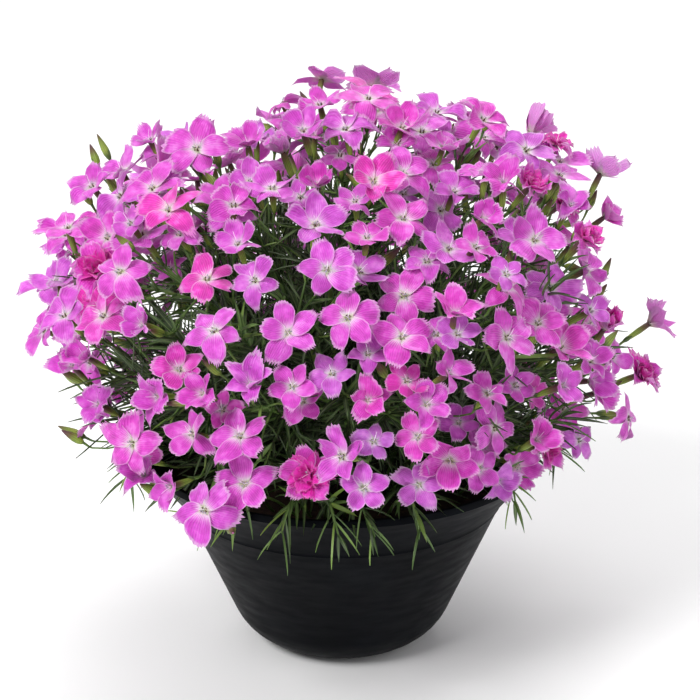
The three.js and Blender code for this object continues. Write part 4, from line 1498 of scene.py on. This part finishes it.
def stemSpline(plant):
    count = len(plant["path"])
    radii = []
    for number in range(count):
        share = number / (count - 1)
        radius = green["stemRadius"] + (green["stemTopRadius"] - green["stemRadius"]) * share
        isNode = 1 < number < count - 1
        radii.append(radius * (green["nodeSwell"] if isNode else 1))
    return plant["path"], radii


def makeBloomGreens(bundle, shapes, splines, root, facing, top, foot, kind):
    radius = green[kind + "Radius"] * chance.uniform(*green["sizeSpread"]) * mm
    addCopy(bundle, shapes[kind], tubePlace(foot, top, radius), slot=2, tone=chance.random())
    side = sideOf(facing, chance.uniform(*green["bractTurn"]))
    for way in (side, -side):  # two bracts hug the foot of the tube
        run = (facing + way * green["bractLean"]).normalized()
        spot = foot - facing * green["bractDrop"] * mm
        length, width = green["bractLength"] * mm, green["bractWidth"] * mm
        addLeaf(bundle, shapes, spot, run, facing, length, width, 0, green["bractTone"])
    path = stalkPath(root, foot, facing)
    splines.append((path, green["stalkRadii"]))
    return path


def passesBloom(start, end):  # whether a straight line goes through a bloom's petals
    for spray in sprays:
        for bloom in spray["blooms"]:
            before, after = [(place - bloom["centre"]).dot(bloom["facing"]) for place in (start, end)]
            if before * after < 0:
                crossing = start.lerp(end, before / (before - after))
                if (crossing - bloom["centre"]).length < extraBuds["clear"] * mm:
                    return True
    return False


def addWantedBuds():
    count = 0
    for spot in extraBuds["wanted"]:
        spray, parent = nearestFront(spot)
        stalk = stalkPath(parent["root"], parent["foot"], parent["facing"])
        distance = (parent["centre"] - frontView["eye"]).length
        for depth in extraBuds["wantedDepths"]:
            root, _ = pointAlong(stalk, chance.uniform(*extraBuds["wantedAlong"]))
            tip = frontView["eye"] + frameRay(camera, spot) * (distance + depth * mm)
            way = ((tip - root).normalized() + up * extraBuds["wantedLift"]).normalized()
            foot = tip - way * chance.uniform(*extraBuds["length"]) * mm
            if not passesBloom(foot, tip) and not passesBloom(root, foot):
                spray["buds"].append({"tip": tip, "foot": foot, "root": root})
                count += 1
                break
    print("added", count, "buds where they stand out")


shootSpread = 2  # degrees to either side of its bearing


def addShoots(kind):  # each on the tuft that stands nearest
    for bearing in kind["bearings"]:
        angle = math.radians(bearing + chance.uniform(-shootSpread, shootSpread))
        out = Vector((math.cos(angle), math.sin(angle), 0))
        aside = out.cross(up) * chance.gauss(0, kind["sway"])
        hang = chance.uniform(*kind["hang"])
        path = []
        for number, (radius, height) in enumerate(kind["route"]):
            isLast = number == len(kind["route"]) - 1
            fall = hang if isLast or kind is innerShoots else 1
            level = kind["hinge"] + (height - kind["hinge"]) * fall
            path.append((out * radius + up * level + aside * number * 0.5) * mm)
        nearest = min(tufts, key=lambda tuft: (tuft["path"][0].xy - path[0].xy).length)
        nearest.setdefault("shoots", []).append((kind, path))


def addExtraBud(bundle, shapes, splines, path):
    for _ in range(extraBuds["tries"]):
        spot, along = pointAlong(path, chance.uniform(*extraBuds["along"]))
        side = sideOf(along, chance.uniform(*anyTurn))
        outward = (spot - sideFlower["domeMiddle"]).normalized()
        ways = zip((along, outward, side, up), extraBuds["way"])
        way = sum((each * share for each, share in ways), Vector()).normalized()
        foot = spot + way * chance.uniform(*extraBuds["stalk"]) * mm
        facing = (way + along * extraBuds["straighten"]).normalized()
        top = foot + facing * chance.uniform(*extraBuds["length"]) * mm
        if not passesBloom(foot, top) and not passesBloom(spot, foot):
            makeBloomGreens(bundle, shapes, splines, spot, facing, top, foot, "bud")
            return


def addStalkPairs(bundle, shapes, path):
    addPairs(bundle, shapes, path, extraLeaves["stalkSpacing"], extraLeaves["stalkLength"],
             extraLeaves["stalkWidth"], extraLeaves["stalkSpan"])


def addFlowers(bundle, shapes, splines, plant):
    for bloom in plant["blooms"]:
        facing = bloom["facing"]
        top = bloom["neck"] + facing * green["calyxOverlap"] * mm
        path = makeBloomGreens(bundle, shapes, splines, bloom["root"], facing, top, bloom["foot"], "calyx")
        addStalkPairs(bundle, shapes, path)
        facesFront = facing.angle(frontView["eye"]) < math.radians(extraBuds["frontTurn"])
        if chance.random() < extraBuds["frontShare" if facesFront else "share"]:
            addExtraBud(bundle, shapes, splines, path)
    for bud in plant["buds"]:
        facing = (bud["tip"] - bud["foot"]).normalized()
        path = makeBloomGreens(bundle, shapes, splines, bud["root"], facing, bud["tip"], bud["foot"], "bud")
        addStalkPairs(bundle, shapes, path)


def addFrameLeaf(bundle, shapes, leaf):
    run = leaf["bend"] - leaf["root"]
    tone = min(1, max(0, chance.gauss(*green["frameLeafTone"])))
    bend = leaf["bend"] + run * green["frameLeafStretch"]
    place = leafPlace(leaf["root"], bend, leaf["tip"], run.cross(up), green["frameLeafWidth"] * mm)
    addCopy(bundle, shapes["leaf"], place, slot=1, tone=tone)


def makeGreens(plants, shapes, materials):
    for plant in plants:
        bundle, splines = newBundle(), [stemSpline(plant)]
        addFlowers(bundle, shapes, splines, plant)
        for leaf in plant["leaves"]:
            addFrameLeaf(bundle, shapes, leaf)
        for kind, path in plant.get("shoots", []):
            splines.append((path, green["shootRadii"]))
            addPairs(bundle, shapes, path, kind["spacing"], kind["length"], kind["width"],
                     extraLeaves["shootSpan"], kind["tone"])
        spacing = extraLeaves["tuftSpacing" if plant["name"].startswith("tuft") else "stemSpacing"]
        addPairs(bundle, shapes, plant["path"], spacing, extraLeaves["length"], green["leafWidth"],
                 extraLeaves["stemSpan"])

        leaves = bundleObject(bundle, "leaves", materials)
        stems = stemObject(splines, "stems")
        stems.data.materials.append(materials[0])
        selectOnly(leaves, stems)
        bpy.ops.object.join()
        finishPiece(leaves, plant["name"] + "_greens", materials, [plant["name"]], smoothAngle=60)


closeBareBlooms()
addSideFlowers()
faceFront()
addWantedBuds()
addShoots(rimSprigs)
addShoots(innerShoots)
markBlooms()
makePetals()
print("the petals are made")
shapes = {"leaf": modelLeaf(), "calyx": modelCalyx(), "bud": modelBud()}
greenMaterials = [wiryStem(), waxyLeaf(), ribbedCalyx(), rolledPetals()]
makeGreens(sprays, shapes, greenMaterials)
makeGreens(tufts, shapes, greenMaterials)
print("the greens are made")

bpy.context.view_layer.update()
meshes = [item.data for item in bpy.data.objects if item.type == "MESH" and not item.hide_render]
triangles = sum(len(face.vertices) - 2 for mesh in meshes for face in mesh.polygons)
print("triangles in all:", triangles)
